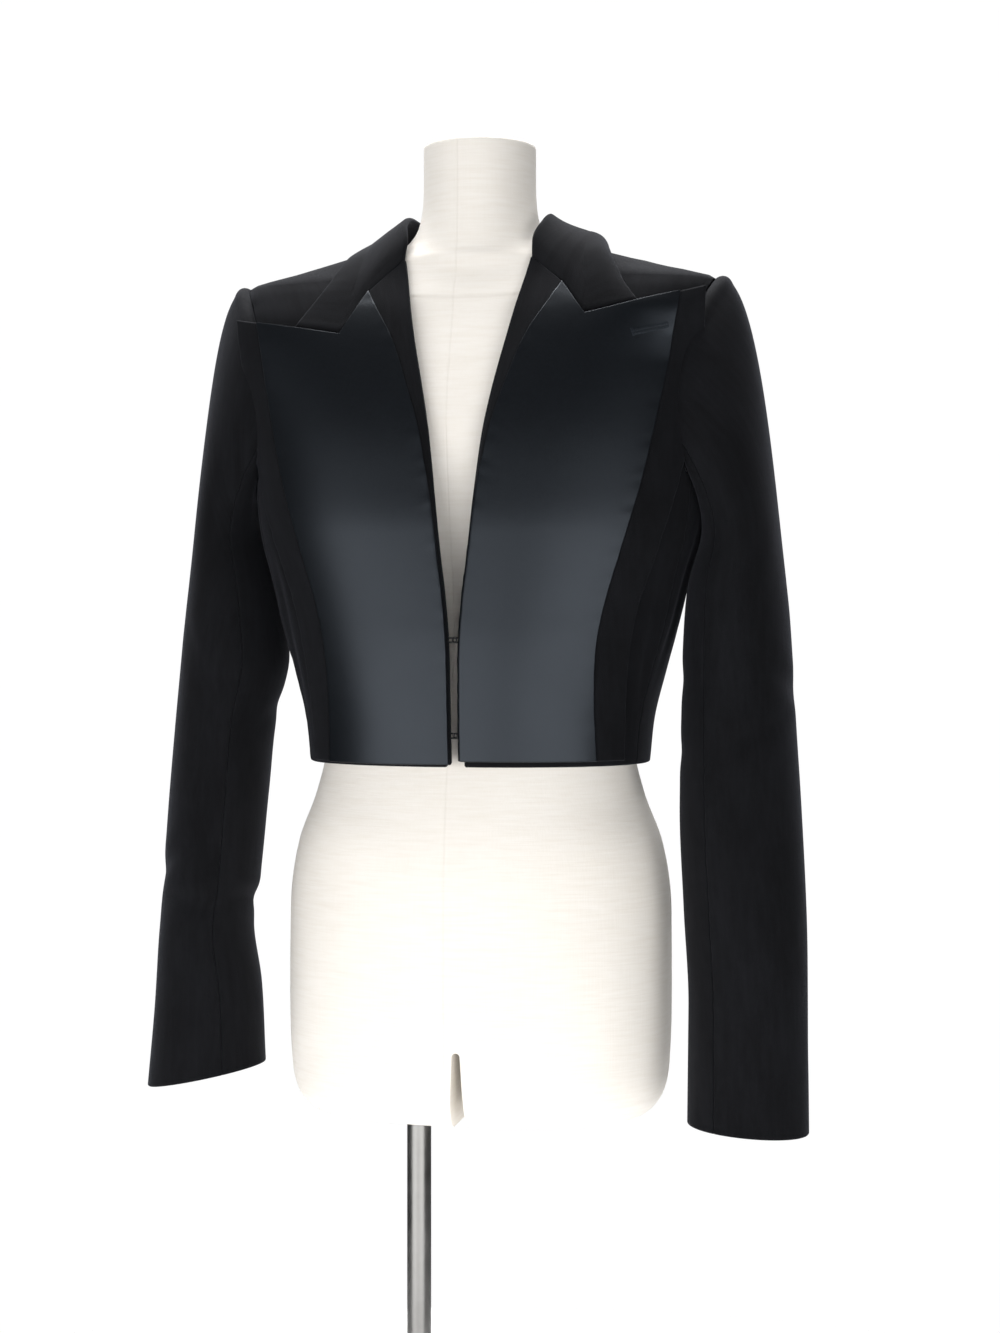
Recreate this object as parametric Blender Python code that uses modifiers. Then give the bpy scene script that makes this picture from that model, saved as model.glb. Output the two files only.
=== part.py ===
"""Cropped evening jacket of velvet with satin-faced peak lapels, on a dress form with a pole stand.

Metres, +Z up.  The jacket faces -Y and the wearer's left side is +X.  The origin is on the floor,
at the middle of the stand's round base.  Each cloth piece is a wall between an outer and an inner sheet.
"""
import math

import bmesh
import bpy
import numpy as np

# Driving sizes of the stand and the dress form
BASE_RADIUS = 0.150
BASE_THICKNESS = 0.008
BASE_EDGE_ROUND = 0.002
POLE_RADIUS = 0.0095
POLE_X = -0.049
FOOT_RADIUS = 0.021
FOOT_HEIGHT = 0.016
FORM_BOTTOM = 0.456
FORM_SEGMENTS = 36
LEG_SPLIT_HEIGHT = 0.060
LEG_SPLIT_HALF_WIDTH = 0.0065
LEG_SPLIT_REACH = 0.16

# Driving sizes of the jacket
HEM = 0.732
VELVET = 0.0020
SATIN = 0.0010
SEAM_GAP = 0.0004
LAYER_GAP = 0.0003

# The jacket body's outer face: one row for each level, heights above the hem
BODY_COLUMNS = ("rise", "half_width", "front", "back", "fullness")
BODY_ROWS = (
    (0.000, 0.1340, 0.098, 0.092, 2.20),
    (0.035, 0.1380, 0.101, 0.093, 2.20),
    (0.070, 0.1470, 0.103, 0.095, 2.20),
    (0.105, 0.1570, 0.104, 0.098, 2.20),
    (0.140, 0.1650, 0.104, 0.101, 2.25),
    (0.175, 0.1740, 0.104, 0.104, 2.30),
    (0.210, 0.1780, 0.102, 0.106, 2.35),
    (0.260, 0.1800, 0.096, 0.105, 2.40),
    (0.310, 0.1840, 0.084, 0.097, 2.40),
    (0.345, 0.1880, 0.071, 0.084, 2.30),
    (0.363, 0.1890, 0.061, 0.073, 2.10),
    (0.373, 0.1860, 0.056, 0.066, 1.90),
    (0.384, 0.1460, 0.054, 0.063, 1.75),
    (0.395, 0.1040, 0.054, 0.062, 1.75),
    (0.405, 0.0720, 0.055, 0.062, 1.90),
)
SHOULDER_RISE = 0.373
SHOULDER_LEVELS = (0.379, 0.386, 0.395)
NECK_RISE = 0.405
SHOULDER_SEARCH_FROM = 0.28
WIDEST_SHARE = 0.995
BODY_ROWS_BELOW = 7
FRONT_COLUMNS = 9
BACK_COLUMNS = 15
SIDE_ROWS = 8
BACK_NECK_DIP = 0.010

# The armhole is an oval on the body's face, round the side at 90 degrees from the front
ARMHOLE_LOW = 0.203
ARMHOLE_SWEEP = math.radians(31.0)
ARMHOLE_POWER = 0.8
ARMHOLE_STEPS = 24
FRONT_SIDE_STEP = 10
BACK_SIDE_STEP = 15

# The front edge, where the lapel folds back, and the lapel's lines: half widths at each rise
LAPEL_COLUMNS = ("rise", "fold", "strip", "border", "outer")
LAPEL_ROWS = (
    (0.000, 0.0025, 0.0015, 0.0170, 0.1165),
    (0.048, 0.0028, 0.0015, 0.0200, 0.1190),
    (0.092, 0.0035, 0.0015, 0.0220, 0.1240),
    (0.125, 0.0060, 0.0015, 0.0225, 0.1315),
    (0.158, 0.0100, 0.0016, 0.0240, 0.1430),
    (0.204, 0.0150, 0.0020, 0.0250, 0.1580),
    (0.252, 0.0210, 0.0040, 0.0250, 0.1690),
    (0.288, 0.0280, 0.0080, 0.0240, 0.1750),
    (0.323, 0.0360, 0.0130, 0.0220, 0.1795),
    (0.355, 0.0430, 0.0250, 0.0190, 0.1835),
    (0.386, 0.0500, 0.0350, 0.0170, 0.1850),
)
GORGE_TOP = (0.0500, 0.386)
GORGE_APEX = (0.0745, 0.3620)
NOTCH = (0.0940, 0.3340)
PEAK = (0.1835, 0.3550)
COLLAR_POINT_SHARE = 0.44
LAPEL_LIFT_SHARES = (0.3, 0.8, 1.3)
LAPEL_LIFTS = {"left": 0.006, "right": -0.009}
LAPEL_ROW_COUNT = 20
LAPEL_INNER_COLUMNS = 6
LAPEL_ROLL = 0.0034
LAPEL_ROLL_POWER = 0.6
LAPEL_EDGE_LIFT = 0.0016
LAPEL_HEM_UP = {"left": 0.0035, "right": 0.0010}
LAPEL_FREE_FROM = 0.205
LAPEL_FREE_FULL = 0.300
LAPEL_HINGE_SHARE = 0.45
LAPEL_HINGE_SPREAD = (0.8, 1.25)
LAPEL_SHEET_SLOPE = 0.11
LAPEL_SHEET_LIFT = 0.002

# The collar's roll from the middle of the back to the front: x, y, z
ROLL_ROWS = (
    (0.0000, 0.0620, 1.1500),
    (0.0300, 0.0550, 1.1530),
    (0.0500, 0.0320, 1.1580),
    (0.0560, 0.0020, 1.1605),
    (0.0555, -0.0240, 1.1530),
    (0.0505, -0.0430, 1.1370),
)
# The collar's outer edge in plan, from the middle of the back to the front: x, y
EDGE_ROWS = {
    "left": (
        (0.0000, 0.0740),
        (0.0450, 0.0680),
        (0.0840, 0.0440),
        (0.1000, 0.0160),
        (0.1040, -0.0080),
        (0.1095, -0.0280),
        (0.1195, -0.0450),
    ),
    "right": (
        (0.0000, 0.0740),
        (0.0450, 0.0680),
        (0.0830, 0.0440),
        (0.0970, 0.0160),
        (0.0990, -0.0080),
        (0.1010, -0.0280),
        (0.1090, -0.0450),
    ),
}
COLLAR_COLUMNS_HALF = 14
COLLAR_SWELL = {"left": 0.0095, "right": 0.0012}
COLLAR_SWELL_PEAK = 0.105
COLLAR_SWELL_PARTS = (0.0, 0.42)
COLLAR_END_POWER = 5
COLLAR_REST = 0.0018
COLLAR_BESIDE_LAPEL = (0.0006, 0.0, 0.0012)
STAND_DROP = 0.0040
STAND_LOWEST = 1.1480
STAND_CLEAR = 0.0010
STAND_ACROSS = 3

# Sleeve sections: height, outermost and innermost x, middle y, half depth
SLEEVE_COLUMNS = ("height", "out", "into", "middle", "half_depth")
LEFT_SLEEVE_ROWS = (
    (0.897, 0.2370, 0.1742, 0.000, 0.060),
    (0.872, 0.2400, 0.1668, -0.003, 0.0595),
    (0.845, 0.2430, 0.1628, -0.006, 0.059),
    (0.770, 0.2480, 0.1612, -0.014, 0.057),
    (0.700, 0.2530, 0.1605, -0.021, 0.054),
    (0.620, 0.2575, 0.1645, -0.030, 0.050),
    (0.545, 0.2590, 0.1690, -0.038, 0.045),
    (0.460, 0.2605, 0.1690, -0.047, 0.040),
)
RIGHT_SLEEVE_ROWS = (
    (0.897, 0.2305, 0.1745, 0.002, 0.060),
    (0.872, 0.2334, 0.1675, 0.000, 0.060),
    (0.845, 0.2365, 0.1618, -0.002, 0.060),
    (0.810, 0.2398, 0.1568, -0.0045, 0.0593),
    (0.765, 0.2433, 0.1662, -0.0073, 0.0578),
    (0.700, 0.2480, 0.1715, -0.012, 0.055),
    (0.620, 0.2525, 0.1780, -0.018, 0.051),
    (0.597, 0.2540, 0.1815, -0.020, 0.050),
    (0.545, 0.2570, 0.1730, -0.024, 0.046),
    (0.484, 0.2615, 0.1675, -0.030, 0.041),
)
CUFF_SLANTS = {"left": 0.003, "right": 0.010}
SLEEVE_TUBE_STEPS = 13
SLEEVE_CAP_STEPS = 5
SLEEVE_SEAM_STEP = 8
CAP_OUT = (1.00, 0.30)
CAP_SPREAD = (0.42, 1.00)
CAP_FULLNESS = 0.45
CAP_HANG = 1.1

# Hooks and eyes at the front edge
HOOK_RISES = {"upper": 0.094, "lower": 0.022}
HOOK_WIRE_RADIUS = 0.00045
HOOK_REACH = 0.0110
HOOK_STRAIGHT = 0.0040
HOOK_TIP = 0.0016
HOOK_HALF_HEIGHT = 0.0017
HOOK_BEND_STEPS = 6

# The dress form below the jacket's shoulders: height above the floor, half width, front, back, fullness
FORM_ROWS = (
    (FORM_BOTTOM, 0.1220, 0.072, 0.088, 2.3),
    (FORM_BOTTOM + 0.004, 0.1330, 0.082, 0.098, 2.3),
    (FORM_BOTTOM + 0.016, 0.1435, 0.091, 0.107, 2.3),
    (0.508, 0.1495, 0.096, 0.116, 2.3),
    (0.562, 0.1505, 0.098, 0.119, 2.3),
    (0.615, 0.1505, 0.098, 0.115, 2.2),
    (0.668, 0.1435, 0.095, 0.104, 2.2),
    (0.706, 0.1295, 0.088, 0.091, 2.2),
    (0.745, 0.1215, 0.078, 0.084, 2.2),
    (0.785, 0.1220, 0.064, 0.084, 2.2),
    (0.830, 0.1340, 0.059, 0.088, 2.2),
    (0.880, 0.1490, 0.065, 0.094, 2.25),
    (0.930, 0.1600, 0.079, 0.098, 2.3),
    (0.990, 0.1640, 0.088, 0.097, 2.4),
    (1.040, 0.1680, 0.076, 0.089, 2.4),
    (1.075, 0.1740, 0.0635, 0.077, 2.3),
)
FORM_SHOULDER_RISES = (0.361, 0.371, 0.381, 0.390)
FORM_SHOULDER_INSET = 0.0012
# The dress form's neck, in the same columns
FORM_NECK_ROWS = (
    (1.1290, 0.0760, 0.0485, 0.0540, 1.8),
    (1.1350, 0.0590, 0.0480, 0.0530, 1.9),
    (1.1430, 0.0510, 0.0475, 0.0520, 2.0),
    (1.1600, 0.0455, 0.0470, 0.0500, 2.0),
    (1.1900, 0.0440, 0.0470, 0.0490, 2.0),
    (1.2120, 0.0440, 0.0470, 0.0490, 2.0),
    (1.2145, 0.0415, 0.0445, 0.0465, 2.0),
)

# Colours (linear) and finishes
FINISHES = {
    "velvet": ((0.006, 0.006, 0.007), 0.85, 0.0),
    "satin": ((0.016, 0.019, 0.024), 0.38, 0.0),
    "hook_metal": ((0.010, 0.010, 0.011), 0.45, 0.6),
    "form_cover": ((0.74, 0.69, 0.60), 0.85, 0.0),
    "steel": ((0.62, 0.62, 0.63), 0.22, 1.0),
}


class SizeTable:
    """A table of sizes with named columns, read smoothly between its rows and without overshoot."""

    def __init__(self, columns, rows):
        order = np.argsort([row[0] for row in rows])
        values = np.array(rows, float)[order]
        self.keys = values[:, 0]
        self.columns = {name: values[:, k] for k, name in enumerate(columns)}

    def at(self, column, key):
        """The column's value at each key, by a monotone cubic."""
        xs, ys = self.keys, self.columns[column]
        steps = np.diff(xs)
        secants = np.diff(ys) / steps
        slopes = np.concatenate(([secants[0]], (secants[1:] + secants[:-1]) / 2, [secants[-1]]))
        turning = np.concatenate(([False], secants[1:] * secants[:-1] <= 0, [False]))
        slopes[turning] = 0.0
        steepest = np.abs(secants)
        limit = 3 * np.minimum(np.append(steepest, steepest[-1]), np.insert(steepest, 0, steepest[0]))
        slopes = np.clip(slopes, -limit, limit)
        key = np.clip(np.asarray(key, float), xs[0], xs[-1])
        k = np.clip(np.searchsorted(xs, key, side="right") - 1, 0, len(xs) - 2)
        t = (key - xs[k]) / steps[k]
        rise = t * t * (3 - 2 * t)
        return (ys[k] * (1 - rise) + ys[k + 1] * rise
                + steps[k] * t * (1 - t) * ((1 - t) * slopes[k] - t * slopes[k + 1]))


BODY = SizeTable(BODY_COLUMNS, BODY_ROWS)
LAPEL = SizeTable(LAPEL_COLUMNS, LAPEL_ROWS)


def smooth_step(low, high, value):
    """0 below low, 1 above high, and an even S between them."""
    t = np.clip((value - low) / (high - low), 0.0, 1.0)
    return t * t * (3 - 2 * t)


def oval(half_width, front, back, fullness, angle):
    """x and y on a level oval; the angle runs from the front's middle round the wearer's left side."""
    power = 2.0 / fullness
    side, ahead = np.sin(angle), np.cos(angle)
    x = half_width * np.sign(side) * np.abs(side) ** power
    depth = np.where(ahead > 0, front, back)
    return x, -depth * np.sign(ahead) * np.abs(ahead) ** power


def body_face(angle, rise):
    """Points on the jacket body's outer face."""
    angle, rise = np.broadcast_arrays(np.asarray(angle, float), np.asarray(rise, float))
    sizes = [BODY.at(name, rise) for name in BODY_COLUMNS[1:]]
    x, y = oval(*sizes, angle)
    return np.stack([x, y, HEM + rise], axis=-1)


def unit(vectors):
    """Vectors of length 1."""
    return vectors / np.maximum(np.linalg.norm(vectors, axis=-1, keepdims=True), 1e-12)


def body_normal(angle, rise):
    """Outward normals of the jacket body's face."""
    turn, lift = 0.02, 0.002
    around = body_face(angle + turn, rise) - body_face(angle - turn, rise)
    upward = body_face(angle, rise + lift) - body_face(angle, rise - lift)
    return unit(np.cross(around, upward))


def front_angle(x, rise):
    """The angle at which the body's front has this x."""
    share = np.clip(np.asarray(x) / BODY.at("half_width", rise), 0.0, WIDEST_SHARE)
    return np.arcsin(share ** (BODY.at("fullness", rise) / 2))


def grid_normals(points, closed=False):
    """Normals of a sheet of points, rows by columns by 3."""
    upward = np.gradient(points, axis=0)
    if closed:
        across = np.roll(points, -1, axis=1) - np.roll(points, 1, axis=1)
    else:
        across = np.gradient(points, axis=1)
    return unit(np.cross(across, upward))


def pulled_in(points, gap):
    """The sheet with each of its edges drawn back by a gap, so that pieces stand clear at a seam."""
    inset = points.copy()
    for edge, beside in ((0, 1), (-1, -2)):
        inset[edge] = points[edge] + gap * unit(points[beside] - points[edge])
    across = inset.copy()
    for edge, beside in ((0, 1), (-1, -2)):
        across[:, edge] = inset[:, edge] + gap * unit(inset[:, beside] - inset[:, edge])
    return across


def mirrored(points):
    """The same sheet on the wearer's other side, with its columns turned so that it faces outwards."""
    return points[:, ::-1] * np.array((-1.0, 1.0, 1.0))


def finish(name):
    """The material of one finish."""
    material = bpy.data.materials.get(name)
    if material is None:
        colour, roughness, metallic = FINISHES[name]
        material = bpy.data.materials.new(name)
        material.use_nodes = True
        shader = material.node_tree.nodes["Principled BSDF"]
        shader.inputs["Base Color"].default_value = (*colour, 1.0)
        shader.inputs["Roughness"].default_value = roughness
        shader.inputs["Metallic"].default_value = metallic
    return material


def add_object(name, data, material, collection):
    """A named object of this mesh or curve, in its collection."""
    piece = bpy.data.objects.new(name, data)
    collection.objects.link(piece)
    data.materials.append(finish(material))
    return piece


def mesh_from(name, bm):
    """A smooth-shaded mesh with its faces pointing out."""
    bmesh.ops.recalc_face_normals(bm, faces=bm.faces)
    mesh = bpy.data.meshes.new(name)
    bm.to_mesh(mesh)
    bm.free()
    mesh.shade_smooth()
    mesh.set_sharp_from_angle(angle=math.radians(40))
    return mesh


def cloth_wall(name, outer, normals, thickness, material, collection):
    """A closed wall: the outer sheet, the same sheet one thickness further in, and a strip round the edge."""
    bm = bmesh.new()
    sheets = []
    for points in (outer, outer - normals * thickness):
        sheets.append([[bm.verts.new(point) for point in row] for row in points])
    rows, columns = outer.shape[:2]
    for sheet in sheets:
        for i in range(rows - 1):
            for j in range(columns - 1):
                bm.faces.new((sheet[i][j], sheet[i][j + 1], sheet[i + 1][j + 1], sheet[i + 1][j]))
    border = [(0, j) for j in range(columns)]
    border += [(i, columns - 1) for i in range(1, rows)]
    border += [(rows - 1, j) for j in range(columns - 2, -1, -1)]
    border += [(i, 0) for i in range(rows - 2, 0, -1)]
    for (i, j), (m, n) in zip(border, border[1:] + border[:1]):
        bm.faces.new((sheets[0][i][j], sheets[0][m][n], sheets[1][m][n], sheets[1][i][j]))
    return add_object(name, mesh_from(name, bm), material, collection)


def loft(name, rings, material, collection):
    """A closed solid through level rings, capped at both ends."""
    bm = bmesh.new()
    loops = [[bm.verts.new(point) for point in ring] for ring in rings]
    count = len(loops[0])
    for low, high in zip(loops, loops[1:]):
        for k in range(count):
            bm.faces.new((low[k], low[(k + 1) % count], high[(k + 1) % count], high[k]))
    bm.faces.new(loops[0])
    bm.faces.new(loops[-1])
    return add_object(name, mesh_from(name, bm), material, collection)


def armhole_steps():
    """Angle from the side and rise at each step round the armhole: top, front, bottom, back."""
    turn = np.arange(ARMHOLE_STEPS) * 2 * math.pi / ARMHOLE_STEPS
    sweep = ARMHOLE_SWEEP * np.sign(np.sin(turn)) * np.abs(np.sin(turn)) ** ARMHOLE_POWER
    middle = (SHOULDER_RISE + ARMHOLE_LOW) / 2
    return math.pi / 2 - sweep, middle + (SHOULDER_RISE - ARMHOLE_LOW) / 2 * np.cos(turn)


def panel_levels(side_step):
    """The rises of a front or back panel's rows, and the angle of its armhole or shoulder edge at each."""
    angles, rises = armhole_steps()
    low = np.linspace(0.0, rises[side_step], BODY_ROWS_BELOW + 1)[:-1]
    shoulder_step = 0 if side_step < ARMHOLE_STEPS / 2 else ARMHOLE_STEPS
    way = 1 if shoulder_step > side_step else -1
    climb = np.arange(side_step, shoulder_step + way, way) % ARMHOLE_STEPS
    top = np.append(SHOULDER_LEVELS, NECK_RISE)
    levels = np.concatenate((low, rises[climb], top))
    below, above = np.full(len(low), angles[side_step]), np.full(len(top), math.pi / 2)
    return levels, np.concatenate((below, angles[climb], above))


def front_sheet():
    """Angles and rises of the wearer's left front, from its front edge out to the side seam and armhole."""
    levels, edge = panel_levels(FRONT_SIDE_STEP)
    inner = front_angle(LAPEL.at("fold", np.minimum(levels, GORGE_TOP[1])), levels)
    share = np.linspace(0.0, 1.0, FRONT_COLUMNS)
    angle = inner[:, None] + (edge - inner)[:, None] * share
    return angle, np.repeat(levels[:, None], len(share), axis=1)


def back_sheet():
    """Angles and rises of the whole back, from the left side seam round to the right."""
    levels, edge = panel_levels(BACK_SIDE_STEP)
    share = np.linspace(0.0, 1.0, BACK_COLUMNS)
    angle = edge[:, None] + (2 * math.pi - 2 * edge)[:, None] * share
    rise = np.repeat(levels[:, None], len(share), axis=1)
    dip = BACK_NECK_DIP * np.sin(np.pi * share) * smooth_step(SHOULDER_RISE, NECK_RISE, levels)[:, None]
    return angle, rise - dip


def side_sheet():
    """Angles and rises of the left side panel, from the hem up to the armhole's underside."""
    angles, rises = armhole_steps()
    steps = np.arange(FRONT_SIDE_STEP, BACK_SIDE_STEP + 1)
    share = np.linspace(0.0, 1.0, SIDE_ROWS)[:, None]
    return np.repeat(angles[steps][None, :], SIDE_ROWS, axis=0), share * rises[steps][None, :]


def build_body(collection):
    """Back, two fronts and two side panels."""
    for name, (angle, rise) in (("back", back_sheet()), ("front", front_sheet()), ("side", side_sheet())):
        face = pulled_in(body_face(angle, rise), SEAM_GAP / 2)
        normals = body_normal(angle, rise)
        if name == "back":
            cloth_wall("back", face, normals, VELVET, "velvet", collection)
            continue
        cloth_wall(name + "_left", face, normals, VELVET, "velvet", collection)
        cloth_wall(name + "_right", mirrored(face), mirrored(normals), VELVET, "velvet", collection)


def lapel_face(x, rise, lift):
    """Points of the lapel at this lift off the front; high up it leaves the chest as a flat sheet."""
    angle = front_angle(x, rise)
    on_chest = body_face(angle, rise) + body_normal(angle, rise) * lift[..., None]
    hinge = LAPEL_HINGE_SHARE * LAPEL.at("outer", rise)
    hinge_angle = front_angle(hinge, rise)
    hinge_y = (body_face(hinge_angle, rise) + body_normal(hinge_angle, rise) * lift[..., None])[..., 1]
    flat = np.stack([x, hinge_y - LAPEL_SHEET_LIFT + LAPEL_SHEET_SLOPE * (x - hinge), HEM + rise], axis=-1)
    free = smooth_step(LAPEL_FREE_FROM, LAPEL_FREE_FULL, rise) * smooth_step(*LAPEL_HINGE_SPREAD, x / hinge)
    flat[..., 1] = np.minimum(flat[..., 1], on_chest[..., 1])
    return on_chest + (flat - on_chest) * free[..., None]


def lapel_tops(side):
    """Top ends of the lapel's columns as x and rise: fold, gorge, its apex, notch, top edge, peak."""
    apex, notch, peak = (np.array(place) + (0.0, LAPEL_LIFTS[side] * share)
                         for place, share in zip((GORGE_APEX, NOTCH, PEAK), LAPEL_LIFT_SHARES))
    border_share = 1.0 - LAPEL.at("border", PEAK[1]) / (PEAK[0] - NOTCH[0])
    along = np.linspace(0.0, border_share, LAPEL_INNER_COLUMNS - 1)
    edge = [notch + (peak - notch) * share for share in along]
    return np.array([GORGE_TOP, (apex + GORGE_TOP) / 2, apex, *edge, peak])


def lapel_sheet(side):
    """x and rise of the lapel's grid, columns from the fold to the outer edge, rows from the hem up."""
    tops = lapel_tops(side)
    share = np.linspace(0.0, 1.0, LAPEL_ROW_COUNT)[:, None]
    hem = LAPEL_HEM_UP[side]
    rise = hem + share * (tops[:, 1][None, :] - hem)
    fold, outer = LAPEL.at("fold", rise), LAPEL.at("outer", rise)
    inner, border = fold + LAPEL.at("strip", rise), outer - LAPEL.at("border", rise)
    even = np.concatenate(([0.0, 0.0], np.linspace(0.0, 1.0, LAPEL_INNER_COLUMNS), [1.0]))
    x = inner + (border - inner) * even
    x[:, 0], x[:, 1], x[:, -1] = fold[:, 0], (fold[:, 1] + inner[:, 1]) / 2, outer[:, -1]
    return x + (tops[:, 0] - x[-1]) * share ** 3, rise


def build_lapels(collection):
    """Velvet lapels folded back on the fronts, each with its satin facing."""
    for side in ("left", "right"):
        x, rise = lapel_sheet(side)
        across = np.linspace(0.0, 1.0, x.shape[1])
        roll = LAPEL_ROLL * np.maximum(np.sin(math.pi * across), 0.0) ** LAPEL_ROLL_POWER
        roll = roll + LAPEL_EDGE_LIFT * across
        face = lapel_face(x, rise, VELVET + LAYER_GAP + roll)
        normals = grid_normals(face)
        inset = pulled_in(face, SEAM_GAP / 2)
        satin = face[:, 2:-1] + normals[:, 2:-1] * (LAYER_GAP + SATIN)
        satin = pulled_in(satin, SEAM_GAP)
        for name, points, around, thickness, cloth in (
                ("lapel_" + side, inset, normals, VELVET, "velvet"),
                ("lapel_satin_" + side, satin, normals[:, 2:-1], SATIN, "satin")):
            if side == "right":
                points, around = mirrored(points), mirrored(around)
            cloth_wall(name, points, around, thickness, cloth, collection)


def through(points, count):
    """Evenly spaced points on a smooth curve through a few given ones, leaving the first along x."""
    points = np.asarray(points, float)
    lengths = np.concatenate(([0.0], np.cumsum(np.linalg.norm(np.diff(points, axis=0), axis=1))))
    slopes = np.gradient(points, lengths, axis=0)
    slopes[0] = (1.0, 0.0, 0.0)
    at = np.linspace(0.0, lengths[-1], count)
    k = np.clip(np.searchsorted(lengths, at, side="right") - 1, 0, len(lengths) - 2)
    step = np.diff(lengths)[k][:, None]
    t = (at - lengths[k])[:, None] / step
    rise = t * t * (3 - 2 * t)
    bend = t * (1 - t) * step * ((1 - t) * slopes[k] - t * slopes[k + 1])
    return points[k] * (1 - rise) + points[k + 1] * rise + bend


def body_below(x, y):
    """Angle and rise of the jacket body's face straight above or below a place in plan, on its shoulders."""
    low, high = np.full(np.shape(x), SHOULDER_SEARCH_FROM), np.full(np.shape(x), NECK_RISE)
    for _ in range(40):
        middle = (low + high) / 2
        depth = np.where(y < 0, BODY.at("front", middle), BODY.at("back", middle))
        power = BODY.at("fullness", middle)
        inside = (np.abs(x) / BODY.at("half_width", middle)) ** power + (np.abs(y) / depth) ** power < 1
        low, high = np.where(inside, middle, low), np.where(inside, high, middle)
    share = np.clip(np.abs(x) / BODY.at("half_width", low), 0.0, 1.0)
    angle = np.arcsin(share ** (BODY.at("fullness", low) / 2))
    return np.where(y < 0, angle, math.pi - angle), low


def rested(points, clearance):
    """The points moved out where needed, to stand at least this clear of the jacket body's shoulders."""
    angle, rise = body_below(points[..., 0], points[..., 1])
    normal = body_normal(angle, rise)
    distance = (points[..., 2] - HEM - rise) * normal[..., 2]
    short = np.where(rise < NECK_RISE - 0.0005, np.maximum(clearance - distance, 0.0), 0.0)
    return points + normal * short[..., None]


def collar_lines(side):
    """Roll, outer edge, gorge apex and notch of one half collar, from the middle back to the front."""
    lapel_lift = np.full(1, VELVET + LAYER_GAP)
    tops = lapel_tops(side)

    def beside_lapel(x, rise):
        return lapel_face(np.array([x]), np.array([rise]), lapel_lift)[0] + COLLAR_BESIDE_LAPEL

    gorge, apex, notch = (beside_lapel(*tops[k]) for k in (0, 2, 3))
    point = beside_lapel(*(tops[3] + (tops[-1] - tops[3]) * COLLAR_POINT_SHARE))
    plan = np.array(EDGE_ROWS[side])
    angle, rise = body_below(plan[:, 0], plan[:, 1])
    edge = body_face(angle, rise) + body_normal(angle, rise) * (VELVET + COLLAR_REST)
    return np.vstack((ROLL_ROWS, gorge)), np.vstack((edge, point)), apex, notch


def collar_half(side):
    """The fall's sheet, columns from the middle back to the front and rows from roll to edge."""
    roll_points, edge_points, apex, notch = collar_lines(side)
    roll = through(roll_points, COLLAR_COLUMNS_HALF)
    edge = through(edge_points, COLLAR_COLUMNS_HALF)
    corner = np.linalg.norm(notch - roll[-1])
    corner /= corner + np.linalg.norm(edge[-1] - notch)
    t = np.array((0.0, corner / 4, corner / 2, corner * 3 / 4, corner, (1 + corner) / 2, 1.0))
    end = np.array((roll[-1], apex, notch, edge[-1]))
    front = np.stack([np.interp(t, (0.0, corner / 2, corner, 1.0), end[:, k]) for k in range(3)], axis=-1)
    straight = roll[-1] + (edge[-1] - roll[-1]) * t[:, None]
    s = np.linspace(0.0, 1.0, COLLAR_COLUMNS_HALF)[None, :, None]
    t = t[:, None, None]
    sheet = (1 - t) * roll + t * edge + (front - straight)[:, None] * s ** COLLAR_END_POWER
    behind = sum(COLLAR_SWELL.values()) / len(COLLAR_SWELL)
    height = behind + (COLLAR_SWELL[side] - behind) * smooth_step(*COLLAR_SWELL_PARTS, s)
    swell = height / COLLAR_SWELL_PEAK * t ** 3 * (1 - t) * (1 - s ** 4)
    sheet = sheet + swell * grid_normals(sheet)
    kept = sheet[:, -1].copy()
    sheet = rested(sheet, VELVET + COLLAR_REST)
    sheet[:, -1] = kept
    return sheet


def build_collar(collection):
    """The collar's fall, and the stand inside it."""
    left, right = collar_half("left"), collar_half("right")
    right = right * np.array((-1.0, 1.0, 1.0))
    fall = np.concatenate((right[:, ::-1], left[:, 1:]), axis=1)[::-1]
    normals = grid_normals(fall)
    cloth_wall("collar_fall", fall, normals, VELVET, "velvet", collection)
    roll = fall[-1][fall[-1, :, 2] > STAND_LOWEST] - (0.0, 0.0, STAND_DROP)
    lean = unit(roll * (1.0, 1.0, 0.0)) * (VELVET + STAND_CLEAR)
    angle = np.arctan2(roll[:, 0], -roll[:, 1])
    seam = body_face(angle, np.full(len(angle), NECK_RISE)) + (0.0, 0.0, SEAM_GAP)
    seam[:, 2] -= BACK_NECK_DIP * np.maximum(-np.cos(angle), 0.0)
    share = np.linspace(0.0, 1.0, STAND_ACROSS)[:, None, None]
    stand = seam[None] + (roll - lean - seam)[None] * share
    cloth_wall("collar_stand", stand, grid_normals(stand), VELVET, "velvet", collection)


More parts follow.
